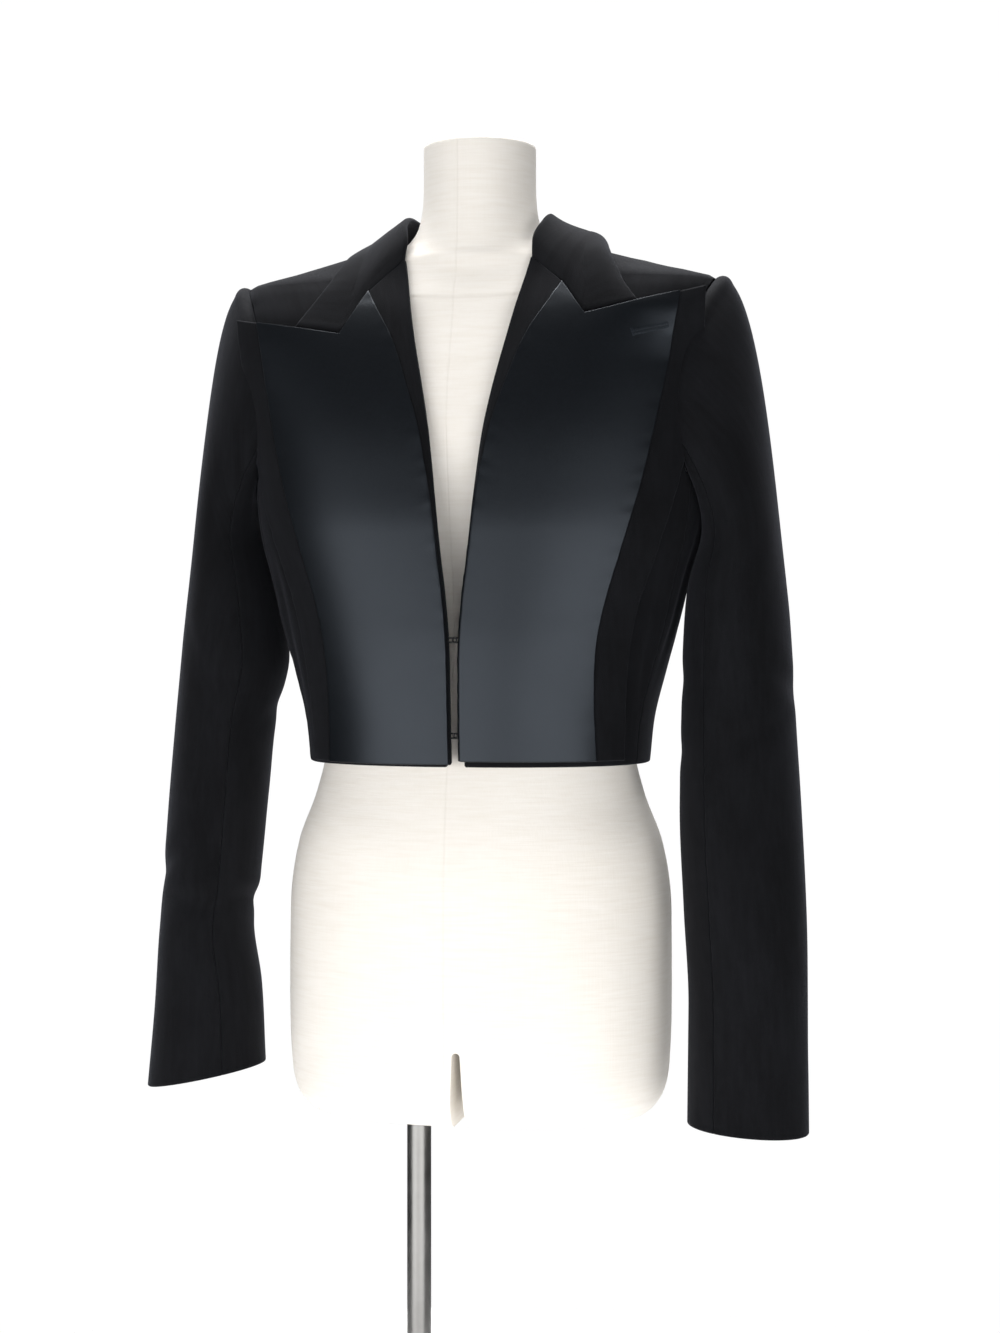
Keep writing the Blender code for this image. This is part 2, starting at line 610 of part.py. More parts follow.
def sleeve_tube(rows, cuff_slant):
    """A sleeve's rings on the +X side, from the cuff up to the armhole, a point for each armhole step."""
    table = SizeTable(SLEEVE_COLUMNS, rows)
    turn = np.arange(ARMHOLE_STEPS) * 2 * math.pi / ARMHOLE_STEPS
    across, ahead = np.cos(turn), np.sin(turn)
    heights = np.linspace(rows[0][0], rows[-1][0], SLEEVE_TUBE_STEPS)
    rings = []
    for height in heights:
        out, into = table.at("out", height), table.at("into", height)
        x = (out + into) / 2 + (out - into) / 2 * across
        y = table.at("middle", height) - table.at("half_depth", height) * ahead
        slant = cuff_slant * across * smooth_step(heights[0], heights[-1], height)
        rings.append(np.stack([x, y, height - slant], axis=-1))
    angles, rises = armhole_steps()
    start = body_face(angles, rises) + (SEAM_GAP, 0.0, 0.0)
    top_share = (1 + across) / 2
    out = CAP_OUT[1] + (CAP_OUT[0] - CAP_OUT[1]) * top_share
    spread = CAP_SPREAD[1] + (CAP_SPREAD[0] - CAP_SPREAD[1]) * top_share
    leaving = unit(np.stack([out, -ahead * spread, across * spread], axis=-1))
    arriving = unit(rings[1] - rings[0])
    chord = np.linalg.norm(rings[0] - start, axis=1, keepdims=True)
    cap = []
    for t in np.linspace(0.0, 1.0, SLEEVE_CAP_STEPS + 1)[:-1]:
        rise = t * t * (3 - 2 * t)
        bend = t * (1 - t) * chord * ((1 - t) * leaving * CAP_FULLNESS - t * arriving * CAP_HANG)
        cap.append(start * (1 - rise) + rings[0] * rise + bend)
    return np.array(cap + rings)[::-1]


def build_sleeves(collection):
    """Two-piece sleeves: an upper piece round the outside and an under piece next to the body."""
    upper = np.arange(-SLEEVE_SEAM_STEP, SLEEVE_SEAM_STEP + 1)
    under = np.arange(SLEEVE_SEAM_STEP, ARMHOLE_STEPS - SLEEVE_SEAM_STEP + 1)
    for side, rows in (("left", LEFT_SLEEVE_ROWS), ("right", RIGHT_SLEEVE_ROWS)):
        tube = sleeve_tube(rows, CUFF_SLANTS[side])[:, ::-1]
        normals = grid_normals(tube, closed=True)
        for name, steps in (("sleeve_upper_" + side, upper), ("sleeve_under_" + side, under)):
            columns = (ARMHOLE_STEPS - 1 - steps[::-1]) % ARMHOLE_STEPS
            face = pulled_in(tube[:, columns], SEAM_GAP / 2)
            around = normals[:, columns]
            if side == "right":
                face, around = mirrored(face), mirrored(around)
            cloth_wall(name, face, around, VELVET, "velvet", collection)


def curve_mesh(name, curve):
    """The closed mesh of a curve."""
    guide = bpy.data.objects.new(name, curve)
    bpy.context.scene.collection.objects.link(guide)
    bpy.context.view_layer.update()
    evaluated = guide.evaluated_get(bpy.context.evaluated_depsgraph_get())
    bm = bmesh.new()
    bm.from_mesh(evaluated.to_mesh())
    bpy.data.objects.remove(guide)
    bmesh.ops.remove_doubles(bm, verts=bm.verts, dist=0.00001)
    return mesh_from(name, bm)


def hook_wire(name, height, sewn_y, caught_y, side, collection):
    """A U of thin wire: its ends sewn inside one front edge, its bend reaching past the jacket's middle."""
    curve = bpy.data.curves.new(name, "CURVE")
    curve.dimensions = "3D"
    curve.bevel_depth = HOOK_WIRE_RADIUS
    curve.bevel_resolution = 1
    curve.use_fill_caps = True
    bend = [(HOOK_TIP + HOOK_HALF_HEIGHT * (math.cos(turn) - 1), HOOK_HALF_HEIGHT * math.sin(turn), caught_y)
            for turn in np.linspace(math.pi / 2, -math.pi / 2, HOOK_BEND_STEPS)]
    path = []
    for end in (1, -1):
        z = end * HOOK_HALF_HEIGHT
        leg = [(-HOOK_REACH, z, sewn_y), (-HOOK_STRAIGHT, z, caught_y)]
        path += leg + bend if end == 1 else leg[::-1]
    spline = curve.splines.new("POLY")
    spline.points.add(len(path) - 1)
    for point, (x, z, y) in zip(spline.points, path):
        point.co = (side * -x, y, height + z, 1.0)
    add_object(name, curve_mesh(name, curve), "hook_metal", collection)


def build_hooks(collection):
    """Two hooks on the right front, each in its eye on the left front."""
    for level, rise in HOOK_RISES.items():
        sewn_y = VELVET - float(BODY.at("front", rise)) + HOOK_WIRE_RADIUS + 3 * LAYER_GAP
        behind_y = sewn_y + 2 * HOOK_WIRE_RADIUS + LAYER_GAP
        hook_wire("hook_" + level, HEM + rise, sewn_y, sewn_y, -1, collection)
        hook_wire("eye_" + level, HEM + rise, sewn_y, behind_y, 1, collection)


def form_rings():
    """Level rings of the dress form: hips to chest, shoulders just inside the jacket, and neck."""
    turn = np.arange(FORM_SEGMENTS) * 2 * math.pi / FORM_SEGMENTS
    rings = []
    for rows in (FORM_ROWS, FORM_NECK_ROWS):
        for height, *sizes in rows:
            x, y = oval(*sizes, turn)
            rings.append(np.stack([x, y, np.full_like(x, height)], axis=-1))
        if rows is FORM_ROWS:
            for rise in FORM_SHOULDER_RISES:
                level = np.full_like(turn, rise)
                inset = body_normal(turn, level) * (VELVET + FORM_SHOULDER_INSET)
                rings.append(body_face(turn, level) - inset)
    return rings


def split_legs(torso, cutters):
    """Cuts the narrow wedge between the form's two short leg stubs."""
    width, height = LEG_SPLIT_HALF_WIDTH, LEG_SPLIT_HEIGHT
    curve = bpy.data.curves.new("leg_split", "CURVE")
    curve.dimensions = "2D"
    curve.fill_mode = "BOTH"
    curve.extrude = LEG_SPLIT_REACH
    tip = [(width * 0.45 * math.sin(turn), height + width * 0.45 * (math.cos(turn) - 1))
           for turn in np.linspace(-math.pi / 2, math.pi / 2, 9)]
    outline = [(-width, -0.01), *tip, (width, -0.01)]
    spline = curve.splines.new("POLY")
    spline.points.add(len(outline) - 1)
    spline.use_cyclic_u = True
    for point, (x, z) in zip(spline.points, outline):
        point.co = (x, z, 0.0, 1.0)
    cutter = bpy.data.objects.new("leg_split", curve_mesh("leg_split", curve))
    cutter.rotation_euler = (math.pi / 2, 0.0, 0.0)
    cutter.location = (0.0, 0.0, FORM_BOTTOM)
    cutters.objects.link(cutter)
    cutter.hide_render = True
    cutter.display_type = "WIRE"
    cut = torso.modifiers.new("leg_split", "BOOLEAN")
    cut.operation = "DIFFERENCE"
    cut.object = cutter


def cylinder(name, radius, low, high, x, material, collection, segments):
    """An upright closed cylinder between two heights."""
    bm = bmesh.new()
    bmesh.ops.create_cone(
        bm, cap_ends=True, segments=segments, radius1=radius, radius2=radius, depth=high - low)
    bmesh.ops.translate(bm, verts=bm.verts, vec=(x, 0.0, (low + high) / 2))
    return add_object(name, mesh_from(name, bm), material, collection)


def build_form(collection, cutters):
    """The dress form with its pole, foot and base."""
    torso = loft("form_torso", form_rings(), "form_cover", collection)
    split_legs(torso, cutters)
    base = cylinder("stand_base", BASE_RADIUS, 0.0, BASE_THICKNESS, 0.0, "steel", collection, 64)
    rounding = base.modifiers.new("edge", "BEVEL")
    rounding.width = BASE_EDGE_ROUND
    rounding.segments = 2
    foot_low = BASE_THICKNESS + LAYER_GAP
    foot_high = foot_low + FOOT_HEIGHT
    cylinder("stand_foot", FOOT_RADIUS, foot_low, foot_high, POLE_X, "steel", collection, 32)
    pole_low, pole_high = foot_high + LAYER_GAP, FORM_BOTTOM - LAYER_GAP
    cylinder("stand_pole", POLE_RADIUS, pole_low, pole_high, POLE_X, "steel", collection, 24)


def main():
    for leftover in list(bpy.data.objects):
        bpy.data.objects.remove(leftover)
    collection = bpy.data.collections.new("cropped_jacket_on_form")
    cutters = bpy.data.collections.new("cutters")
    for group in (collection, cutters):
        bpy.context.scene.collection.children.link(group)
    build_body(collection)
    build_lapels(collection)
    build_collar(collection)
    build_sleeves(collection)
    build_hooks(collection)
    build_form(collection, cutters)


main()
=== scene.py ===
"""Cropped velvet evening jacket with satin-faced peak lapels, on a dress form with a pole stand.

Every cloth piece is a thin shell on its solid's form, with turned hems, rolled seams and its own creases.
Metres, +Z up; the jacket faces -Y and the wearer's left side is +X.
"""
import math

import bpy
import numpy as np
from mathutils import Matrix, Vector


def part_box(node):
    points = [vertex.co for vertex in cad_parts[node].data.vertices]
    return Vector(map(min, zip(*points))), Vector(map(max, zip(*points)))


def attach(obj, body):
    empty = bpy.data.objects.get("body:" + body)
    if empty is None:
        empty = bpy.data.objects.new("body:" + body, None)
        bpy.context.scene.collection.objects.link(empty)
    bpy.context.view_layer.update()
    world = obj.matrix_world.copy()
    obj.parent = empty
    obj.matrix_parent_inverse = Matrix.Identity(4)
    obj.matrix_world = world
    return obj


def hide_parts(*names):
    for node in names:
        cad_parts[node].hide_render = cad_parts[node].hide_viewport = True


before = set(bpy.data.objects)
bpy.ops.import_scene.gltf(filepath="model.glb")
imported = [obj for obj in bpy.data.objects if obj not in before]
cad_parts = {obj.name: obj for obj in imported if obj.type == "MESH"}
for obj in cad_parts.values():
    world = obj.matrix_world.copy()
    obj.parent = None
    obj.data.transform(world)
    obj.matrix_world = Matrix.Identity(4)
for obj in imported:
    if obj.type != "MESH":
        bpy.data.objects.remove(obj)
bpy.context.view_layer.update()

bl_info = {
    "name": "Cropped velvet jacket",
    "version": (1, 0, 0),
    "blender": (4, 5, 0),
    "location": "3D View > Sidebar > Jacket",
    "description": "Dresses a cropped jacket on its form with velvet, satin, sewing and hooks",
    "category": "Add Mesh",
}

# Heights and places read from the frame
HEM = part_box("back")[0].z
FORM_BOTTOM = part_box("form_torso")[0].z
BASE_LOW, BASE_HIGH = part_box("stand_base")
FOOT_LOW, FOOT_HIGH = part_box("stand_foot")
POLE_LOW, POLE_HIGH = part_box("stand_pole")

# Clearances of the layered pieces
WALL = 0.0020
LAYER_GAP = 0.0003
SEAM_GAP = 0.0004

# The jacket body's outer face: heights above the hem, half widths and depths
BODY_COLUMNS = ("rise", "half_width", "front", "back", "fullness")
BODY_ROWS = (
    (0.000, 0.1340, 0.098, 0.092, 2.20),
    (0.035, 0.1380, 0.101, 0.093, 2.20),
    (0.070, 0.1470, 0.103, 0.095, 2.20),
    (0.105, 0.1570, 0.104, 0.098, 2.20),
    (0.140, 0.1650, 0.104, 0.101, 2.25),
    (0.175, 0.1740, 0.104, 0.104, 2.30),
    (0.210, 0.1780, 0.102, 0.106, 2.35),
    (0.260, 0.1800, 0.096, 0.105, 2.40),
    (0.310, 0.1840, 0.084, 0.097, 2.40),
    (0.345, 0.1880, 0.071, 0.084, 2.30),
    (0.363, 0.1890, 0.061, 0.073, 2.10),
    (0.373, 0.1860, 0.056, 0.066, 1.90),
    (0.384, 0.1460, 0.054, 0.063, 1.75),
    (0.395, 0.1040, 0.054, 0.062, 1.75),
    (0.405, 0.0720, 0.055, 0.062, 1.90),
)
SHOULDER_RISE = 0.373
NECK_RISE = 0.405
SHOULDER_SEARCH_FROM = 0.28
SHOULDER_SEARCH_STEPS = 40
NECK_MARGIN = 0.0005
WIDEST_SHARE = 0.995
BACK_NECK_DIP = 0.010
FRONT_SET_BACK = 0.0050

# The armhole, an oval round the body's side; a turn of 0 is its top and 90 degrees its front
ARMHOLE_LOW = 0.203
ARMHOLE_SWEEP = math.radians(31.0)
ARMHOLE_POWER = 0.8
FRONT_SIDE_TURN = math.radians(150.0)
BACK_SIDE_TURN = math.radians(225.0)

# The lapel: fold, velvet strip, velvet border and outer edge at each rise, and its top line
LAPEL_COLUMNS = ("rise", "fold", "strip", "border", "outer")
LAPEL_ROWS = (
    (0.000, 0.0025, 0.0015, 0.0170, 0.1165),
    (0.048, 0.0028, 0.0015, 0.0200, 0.1190),
    (0.092, 0.0035, 0.0015, 0.0220, 0.1240),
    (0.125, 0.0060, 0.0015, 0.0225, 0.1315),
    (0.158, 0.0100, 0.0016, 0.0240, 0.1430),
    (0.204, 0.0150, 0.0020, 0.0250, 0.1580),
    (0.252, 0.0210, 0.0040, 0.0250, 0.1690),
    (0.288, 0.0280, 0.0080, 0.0240, 0.1750),
    (0.323, 0.0360, 0.0130, 0.0220, 0.1795),
    (0.355, 0.0430, 0.0250, 0.0190, 0.1835),
    (0.386, 0.0500, 0.0350, 0.0170, 0.1850),
)
GORGE_TOP = (0.0500, 0.386)
GORGE_APEX = (0.0745, 0.3620)
NOTCH = (0.0940, 0.3340)
PEAK = (0.1835, 0.3550)
COLLAR_POINT_SHARE = 0.44
LAPEL_LIFT_SHARES = (0.3, 0.8, 1.3)
LAPEL_LIFTS = {"left": 0.006, "right": -0.009}
LAPEL_INNER_COLUMNS = 6
LAPEL_LINES = LAPEL_INNER_COLUMNS + 3
STRIP_LINE, BORDER_LINE, OUTER_LINE = 2, LAPEL_LINES - 2, LAPEL_LINES - 1
LAPEL_ROLL = 0.0034
LAPEL_FOLD_FLAT = 0.4
LAPEL_EDGE_LIFT = 0.0016
LAPEL_LOW_LIFT = {"left": 0.0045, "right": 0.0}
LAPEL_LOW = (0.12, 0.26)
LAPEL_HEM_UP = {"left": 0.0035, "right": 0.0010}
LAPEL_FREE = {"left": (0.300, 0.374), "right": (0.220, 0.400)}
BUTTONHOLE_LIFT = (0.0020, 0.140, 0.349, 0.0190, 0.0130)
LAPEL_HINGE_SHARE = 0.45
LAPEL_HINGE_SPREAD = (0.8, 1.25)
LAPEL_SHEET_SLOPE = 0.11
LAPEL_SHEET_LIFT = 0.002
SATIN_FROM_LINE = {"left": 0.0, "right": 1.1}
SATIN_NARROWS = (0.13, 0.23)
SATIN_FINE_SHARE = 0.2
LAPEL_TURN_IN = 0.024

# The collar's roll (x, y, z) and outer edge (x, y), from the middle of the back to the front
ROLL_ROWS = (
    (0.0000, 0.0620, 1.1500),
    (0.0300, 0.0550, 1.1530),
    (0.0500, 0.0320, 1.1580),
    (0.0560, 0.0020, 1.1605),
    (0.0555, -0.0240, 1.1530),
    (0.0505, -0.0430, 1.1370),
)
EDGE_ROWS = {
    "left": (
        (0.0000, 0.0740),
        (0.0450, 0.0680),
        (0.0840, 0.0440),
        (0.1000, 0.0160),
        (0.1040, -0.0080),
        (0.1095, -0.0280),
        (0.1195, -0.0450),
    ),
    "right": (
        (0.0000, 0.0740),
        (0.0450, 0.0680),
        (0.0830, 0.0440),
        (0.0970, 0.0160),
        (0.0990, -0.0080),
        (0.1010, -0.0280),
        (0.1090, -0.0450),
    ),
}
COLLAR_SWELL = {"left": 0.0095, "right": 0.0012}
COLLAR_SWELL_PEAK = 0.105
COLLAR_SWELL_PARTS = (0.0, 0.42)
COLLAR_END_POWER = 5
COLLAR_REST = 0.0018
COLLAR_BESIDE_LAPEL = (0.0003, 0.0, 0.0005)
COLLAR_TURN_IN = 0.008
STAND_DROP = 0.0040
STAND_LOWEST = 1.1480

# Sleeve sections: height, outermost and innermost x, middle y, half depth
SLEEVE_COLUMNS = ("height", "out", "into", "middle", "half_depth")
SLEEVE_ROWS = {
    "left": (
        (0.897, 0.2370, 0.1730, 0.000, 0.060),
        (0.872, 0.2400, 0.1659, -0.003, 0.0595),
        (0.845, 0.2430, 0.1628, -0.006, 0.059),
        (0.770, 0.2480, 0.1612, -0.014, 0.057),
        (0.700, 0.2530, 0.1605, -0.021, 0.054),
        (0.620, 0.2575, 0.1645, -0.030, 0.050),
        (0.545, 0.2590, 0.1690, -0.038, 0.045),
        (0.460, 0.2605, 0.1690, -0.047, 0.040),
    ),
    "right": (
        (0.897, 0.2305, 0.1745, 0.002, 0.060),
        (0.872, 0.2334, 0.1675, 0.000, 0.060),
        (0.845, 0.2365, 0.1618, -0.002, 0.060),
        (0.810, 0.2398, 0.1568, -0.0045, 0.0593),
        (0.765, 0.2433, 0.1662, -0.0073, 0.0578),
        (0.700, 0.2480, 0.1715, -0.012, 0.055),
        (0.620, 0.2525, 0.1780, -0.018, 0.051),
        (0.597, 0.2540, 0.1815, -0.020, 0.050),
        (0.545, 0.2570, 0.1730, -0.024, 0.046),
        (0.484, 0.2615, 0.1675, -0.030, 0.041),
    ),
}
CUFF_SLANTS = {"left": 0.003, "right": 0.010}
SLEEVE_SEAM_TURN = math.radians(120.0)
CAP_OUT = (1.00, 0.30)
CAP_SPREAD = (0.42, 1.00)
CAP_FULLNESS = 0.45
CAP_HANG = 1.1
ROPE_REACH = 0.016
ROPE_ROUND_TOP = (-0.2, 0.6)
ROPE_POWER = 1.5
SLEEVE_ALLOWANCE = 0.0035
ALLOWANCE_INSET = 0.0012

# The buttonhole on the left lapel: x and rise of its lower end, and its lean in degrees
BUTTONHOLE_START = (0.1312, 0.3248)
BUTTONHOLE_LEAN = 14.5
BUTTONHOLE_FROM_LINE = 4.5
BUTTONHOLE_FROM_SHARE = 0.80
BUTTONHOLE_SEARCH_LINES = 380

# Its two rows of stitches and the bar at its lower end: how far each reaches across, and its height
THREAD_RADIUS = 0.00015
STITCHES = 72
STITCH_OFFSET = 0.2
STITCH_REACHES = (0.0003, 0.0013, 0.0024)
STITCH_HEIGHTS = (0.0001, 0.0003, 0.0)
BAR_THREADS = 5
BAR_STEP = 0.0003
BAR_REACHES = (-0.0026, 0.0006, 0.0038)
BAR_HEIGHTS = (0.0, 0.0003, 0.0)

# Hooks and eyes at the front edge
HOOK_RISES = {"upper": 0.094, "lower": 0.022}
HOOK_WIRE = 0.00070
HOOK_REACH = 0.0110
HOOK_STRAIGHT = 0.0040
HOOK_TIP = 0.0016
HOOK_HALF_HEIGHT = 0.0017
HOOK_SLOPE = 0.002
HOOK_RING = 0.0012
HOOK_RING_TURN = 1.6 * math.pi

# The dress form: height, half width, front, back, fullness
FORM_ROWS = (
    (FORM_BOTTOM, 0.1220, 0.072, 0.088, 2.3),
    (FORM_BOTTOM + 0.004, 0.1330, 0.082, 0.098, 2.3),
    (FORM_BOTTOM + 0.016, 0.1435, 0.091, 0.107, 2.3),
    (0.508, 0.1495, 0.096, 0.116, 2.3),
    (0.562, 0.1505, 0.098, 0.119, 2.3),
    (0.615, 0.1505, 0.098, 0.115, 2.2),
    (0.668, 0.1435, 0.095, 0.104, 2.2),
    (0.706, 0.1295, 0.088, 0.091, 2.2),
    (0.745, 0.1215, 0.078, 0.084, 2.2),
    (0.785, 0.1220, 0.064, 0.084, 2.2),
    (0.830, 0.1340, 0.059, 0.088, 2.2),
    (0.880, 0.1490, 0.065, 0.094, 2.25),
    (0.930, 0.1600, 0.079, 0.098, 2.3),
    (0.990, 0.1640, 0.088, 0.097, 2.4),
    (1.040, 0.1680, 0.076, 0.089, 2.4),
    (1.075, 0.1740, 0.0635, 0.077, 2.3),
)
FORM_SHOULDER_RISES = (0.361, 0.371, 0.381, 0.390)
FORM_SHOULDER_INSET = 0.0012
FORM_NECK_ROWS = (
    (1.1290, 0.0760, 0.0485, 0.0540, 1.8),
    (1.1350, 0.0590, 0.0480, 0.0530, 1.9),
    (1.1430, 0.0510, 0.0475, 0.0520, 2.0),
    (1.1600, 0.0455, 0.0470, 0.0500, 2.0),
    (1.1900, 0.0440, 0.0470, 0.0490, 2.0),
    (1.2120, 0.0440, 0.0470, 0.0490, 2.0),
    (1.2145, 0.0415, 0.0445, 0.0465, 2.0),
)
NECK_SEAM = ((0.0, -0.447, 0.894), 1.0000)
FRONT_SEAM = ((1.0, 0.0, 0.0), -0.009)
FORM_SIDE_SEAMS = (-math.pi / 2, math.pi / 2)
FORM_SEAM_DEPTH = 0.0007
FORM_SEAM_SPREAD = 0.009
FORM_SEAM_TURNS = (0.006, 0.012, 0.02)
FORM_CAP_SHARES = (0.0, 0.35, 0.7)
LEG_SPLIT_HEIGHT = 0.060
LEG_SPLIT_BELOW = 0.010
LEG_SPLIT_HALF_WIDTH = 0.0065
LEG_SPLIT_TOP_SHARE = 0.45
LEG_SPLIT_ROUND_SHARE = 0.44
LEG_SPLIT_REACH = 0.16

# The stand's turned pieces: the corners of their boxes, rim radius and inset of the top face
STAND_PARTS = (
    ("stand_base", BASE_LOW, BASE_HIGH, 0.0022, 0.010),
    ("stand_foot", FOOT_LOW, FOOT_HIGH, 0.0024, 0.004),
    ("stand_pole", POLE_LOW, POLE_HIGH, 0.0006, 0.002),
)
ROUND_SIDES = 96

# Creases in each sheet's own metres: across, up, length, width, depth, lean in degrees
CREASES = {
    "sleeve_upper_left": (
        (0.050, 0.300, 0.080, 0.012, 0.0018, 25.0),
        (0.070, 0.345, 0.090, 0.014, 0.0016, -20.0),
        (0.030, 0.420, 0.070, 0.012, 0.0014, 60.0),
        (0.120, 0.110, 0.110, 0.016, 0.0012, 75.0),
        (0.175, 0.330, 0.080, 0.013, 0.0020, -30.0),
        (0.195, 0.285, 0.070, 0.012, 0.0018, 15.0),
        (0.190, 0.500, 0.120, 0.016, 0.0018, 80.0),
    ),
    "sleeve_upper_right": (
        (0.030, 0.140, 0.070, 0.011, 0.0024, 20.0),
        (0.055, 0.175, 0.075, 0.013, 0.0016, -25.0),
        (0.040, 0.330, 0.080, 0.014, 0.0015, 65.0),
        (0.115, 0.250, 0.130, 0.018, 0.0013, 80.0),
        (0.175, 0.300, 0.080, 0.013, 0.0020, -28.0),
        (0.200, 0.250, 0.070, 0.012, 0.0018, 18.0),
        (0.185, 0.470, 0.120, 0.016, 0.0018, 80.0),
    ),
    "sleeve_under_left": (
        (0.050, 0.330, 0.070, 0.014, 0.0010, 15.0),
        (0.060, 0.280, 0.070, 0.013, 0.0009, -15.0),
    ),
    "sleeve_under_right": (
        (0.055, 0.130, 0.080, 0.011, 0.0030, 5.0),
        (0.050, 0.278, 0.070, 0.012, 0.0011, -18.0),
    ),
    "side": (
        (0.020, 0.130, 0.110, 0.008, 0.0016, 82.0),
        (0.045, 0.150, 0.120, 0.009, 0.0020, 94.0),
        (0.072, 0.120, 0.100, 0.008, 0.0014, 98.0),
    ),
    "front": (
        (0.135, 0.170, 0.120, 0.009, 0.0020, 80.0),
        (0.150, 0.100, 0.110, 0.009, 0.0014, 86.0),
        (0.120, 0.230, 0.080, 0.009, 0.0012, 70.0),
    ),
    "back": (
        (0.050, 0.200, 0.150, 0.012, 0.0022, 76.0),
        (0.085, 0.110, 0.140, 0.014, 0.0014, 84.0),
        (0.300, 0.210, 0.150, 0.012, 0.0020, 104.0),
        (0.265, 0.120, 0.130, 0.014, 0.0014, 97.0),
        (0.180, 0.330, 0.160, 0.013, 0.0014, 4.0),
        (0.170, 0.060, 0.120, 0.011, 0.0010, -6.0),
    ),
}

# Radius at a seam that is pressed flat
SEWN_ROLL = 0.0005

# Gathers along a seam: how far they reach into the cloth, and the lengths and weights of their waves
PUCKER_REACH = 0.008
PUCKER_WAVES = ((0.0105, 0.4), (0.0165, 0.6), (0.0270, 0.5))

# Distances from an edge at which a sheet gets extra lines, so that it can round over
NEAR_EDGE = (0.00025, 0.0006, 0.0011, 0.0018, 0.0028, 0.0042)

# Lines of the sheets: how many, and the length in metres that they divide
FRONT_LINES = (64, 0.15)
BACK_LINES = (110, 0.34)
SIDE_LINES, SIDE_ROWS = (34, 0.09), (60, 0.20)
LAPEL_LENGTH_LINES = (120, 0.35)
LAPEL_SPANS = ((0, 1, 4), (1, 2, 4), (2, 3, 12), (3, BORDER_LINE, 44))
LAPEL_BORDER_LINES = (14, 0.02)
SATIN_FINE_LINES, SATIN_LINES = (16, 0.02), (52, 0.07)
COLLAR_LINES, COLLAR_ROWS = 80, (30, 0.07)
STAND_ROWS = 12
SLEEVE_UPPER_LINES, SLEEVE_UNDER_LINES = (76, 0.22), (40, 0.10)
SLEEVE_LENGTH_LINES = 130
CAP_LINES = (52, 0.15)
SEAM_LINES, ARMHOLE_LINES, SHOULDER_LINES = 44, 46, 14
FOLD_LINES = 10
FORM_RINGS, FORM_TURNS = 150, 145

# Fixed tones of the finishes and of the stage
SATIN_TINT = (0.77, 0.87, 1.0, 1.0)
# Painted shade for the dress form's seam grooves
SEAM_SHADE = (0.62, 0.57, 0.50)
STEEL_SMUDGE = (0.25, 0.247, 0.24)
WORLD_COLOUR = (0.05, 0.051, 0.054, 1.0)
FLOOR_COLOURS = ((0.90, 0.90, 0.90), (0.93, 0.93, 0.93))
BELL_BASE = 2.718

# The camera stands at the photograph's angle; its frame is 1000 by 1333
PHOTO_LONG_SIDE = 1333
CAMERA_AZIMUTH = math.radians(11.0)
CAMERA_DISTANCE = 2.0
CAMERA_HEIGHT = 0.845
CAMERA_FOCUS = 2540
CAMERA_SHIFT = (20, -51.5)
SENSOR = 36.0

# Soft lights: place, what each looks at, width, height, watts
LIGHTS = {
    "front_left": ((-1.5, -3.0, 0.15), (0.0, 0.0, 0.75), 3.6, 2.0, 80.0),
    "front_right": ((1.75, -2.8, 0.15), (0.0, 0.0, 0.75), 3.2, 2.0, 71.0),
    "left_side": ((-2.9, 1.6, 1.6), (0.0, 0.0, 0.8), 2.0, 2.6, 6.0),
    "right_side": ((2.9, 1.6, 1.6), (0.0, 0.0, 0.8), 2.0, 2.6, 3.0),
    "back_wall": ((0.0, 3.6, 1.5), (0.0, 0.0, 0.9), 6.0, 3.0, 25.0),
    "overhead": ((-0.35, 1.0, 4.0), (0.0, 0.2, 0.2), 3.0, 2.2, 300.0),
}
FLOOR_RADIUS = 1.1
FLOOR_DROP = 0.0006
SKY_RADIUS = 14.0


class JacketSizes(bpy.types.PropertyGroup):
    """Sizes of the sewing and the cloth."""

    velvet: bpy.props.FloatProperty(
        name="Velvet", description="Thickness of the velvet with its pile", default=0.0011, unit="LENGTH")
    satin: bpy.props.FloatProperty(
        name="Satin", description="Thickness of the satin facing", default=0.0006, unit="LENGTH")
    seam_roll: bpy.props.FloatProperty(
        name="Seam roll", description="Radius over which a sewn edge rolls into its seam",
        default=0.0013, unit="LENGTH")
    edge_roll: bpy.props.FloatProperty(
        name="Edge roll", description="Radius of a pressed outer edge", default=0.0016, unit="LENGTH")
    fold_roll: bpy.props.FloatProperty(
        name="Fold roll", description="Radius of the fold where a lapel turns back",
        default=0.0026, unit="LENGTH")
    hem_depth: bpy.props.FloatProperty(
        name="Hem depth", description="Height of the cloth turned up inside hem and cuffs",
        default=0.028, unit="LENGTH")
    rope: bpy.props.FloatProperty(
        name="Sleeve head", description="Height of the roped ridge along the sleeve head",
        default=0.0016, unit="LENGTH")
    pucker: bpy.props.FloatProperty(
        name="Pucker", description="Height of the small gathers along a seam", default=0.0003, unit="LENGTH")
    buttonhole: bpy.props.FloatProperty(
        name="Buttonhole", description="Length of the lapel's buttonhole", default=0.026, unit="LENGTH")


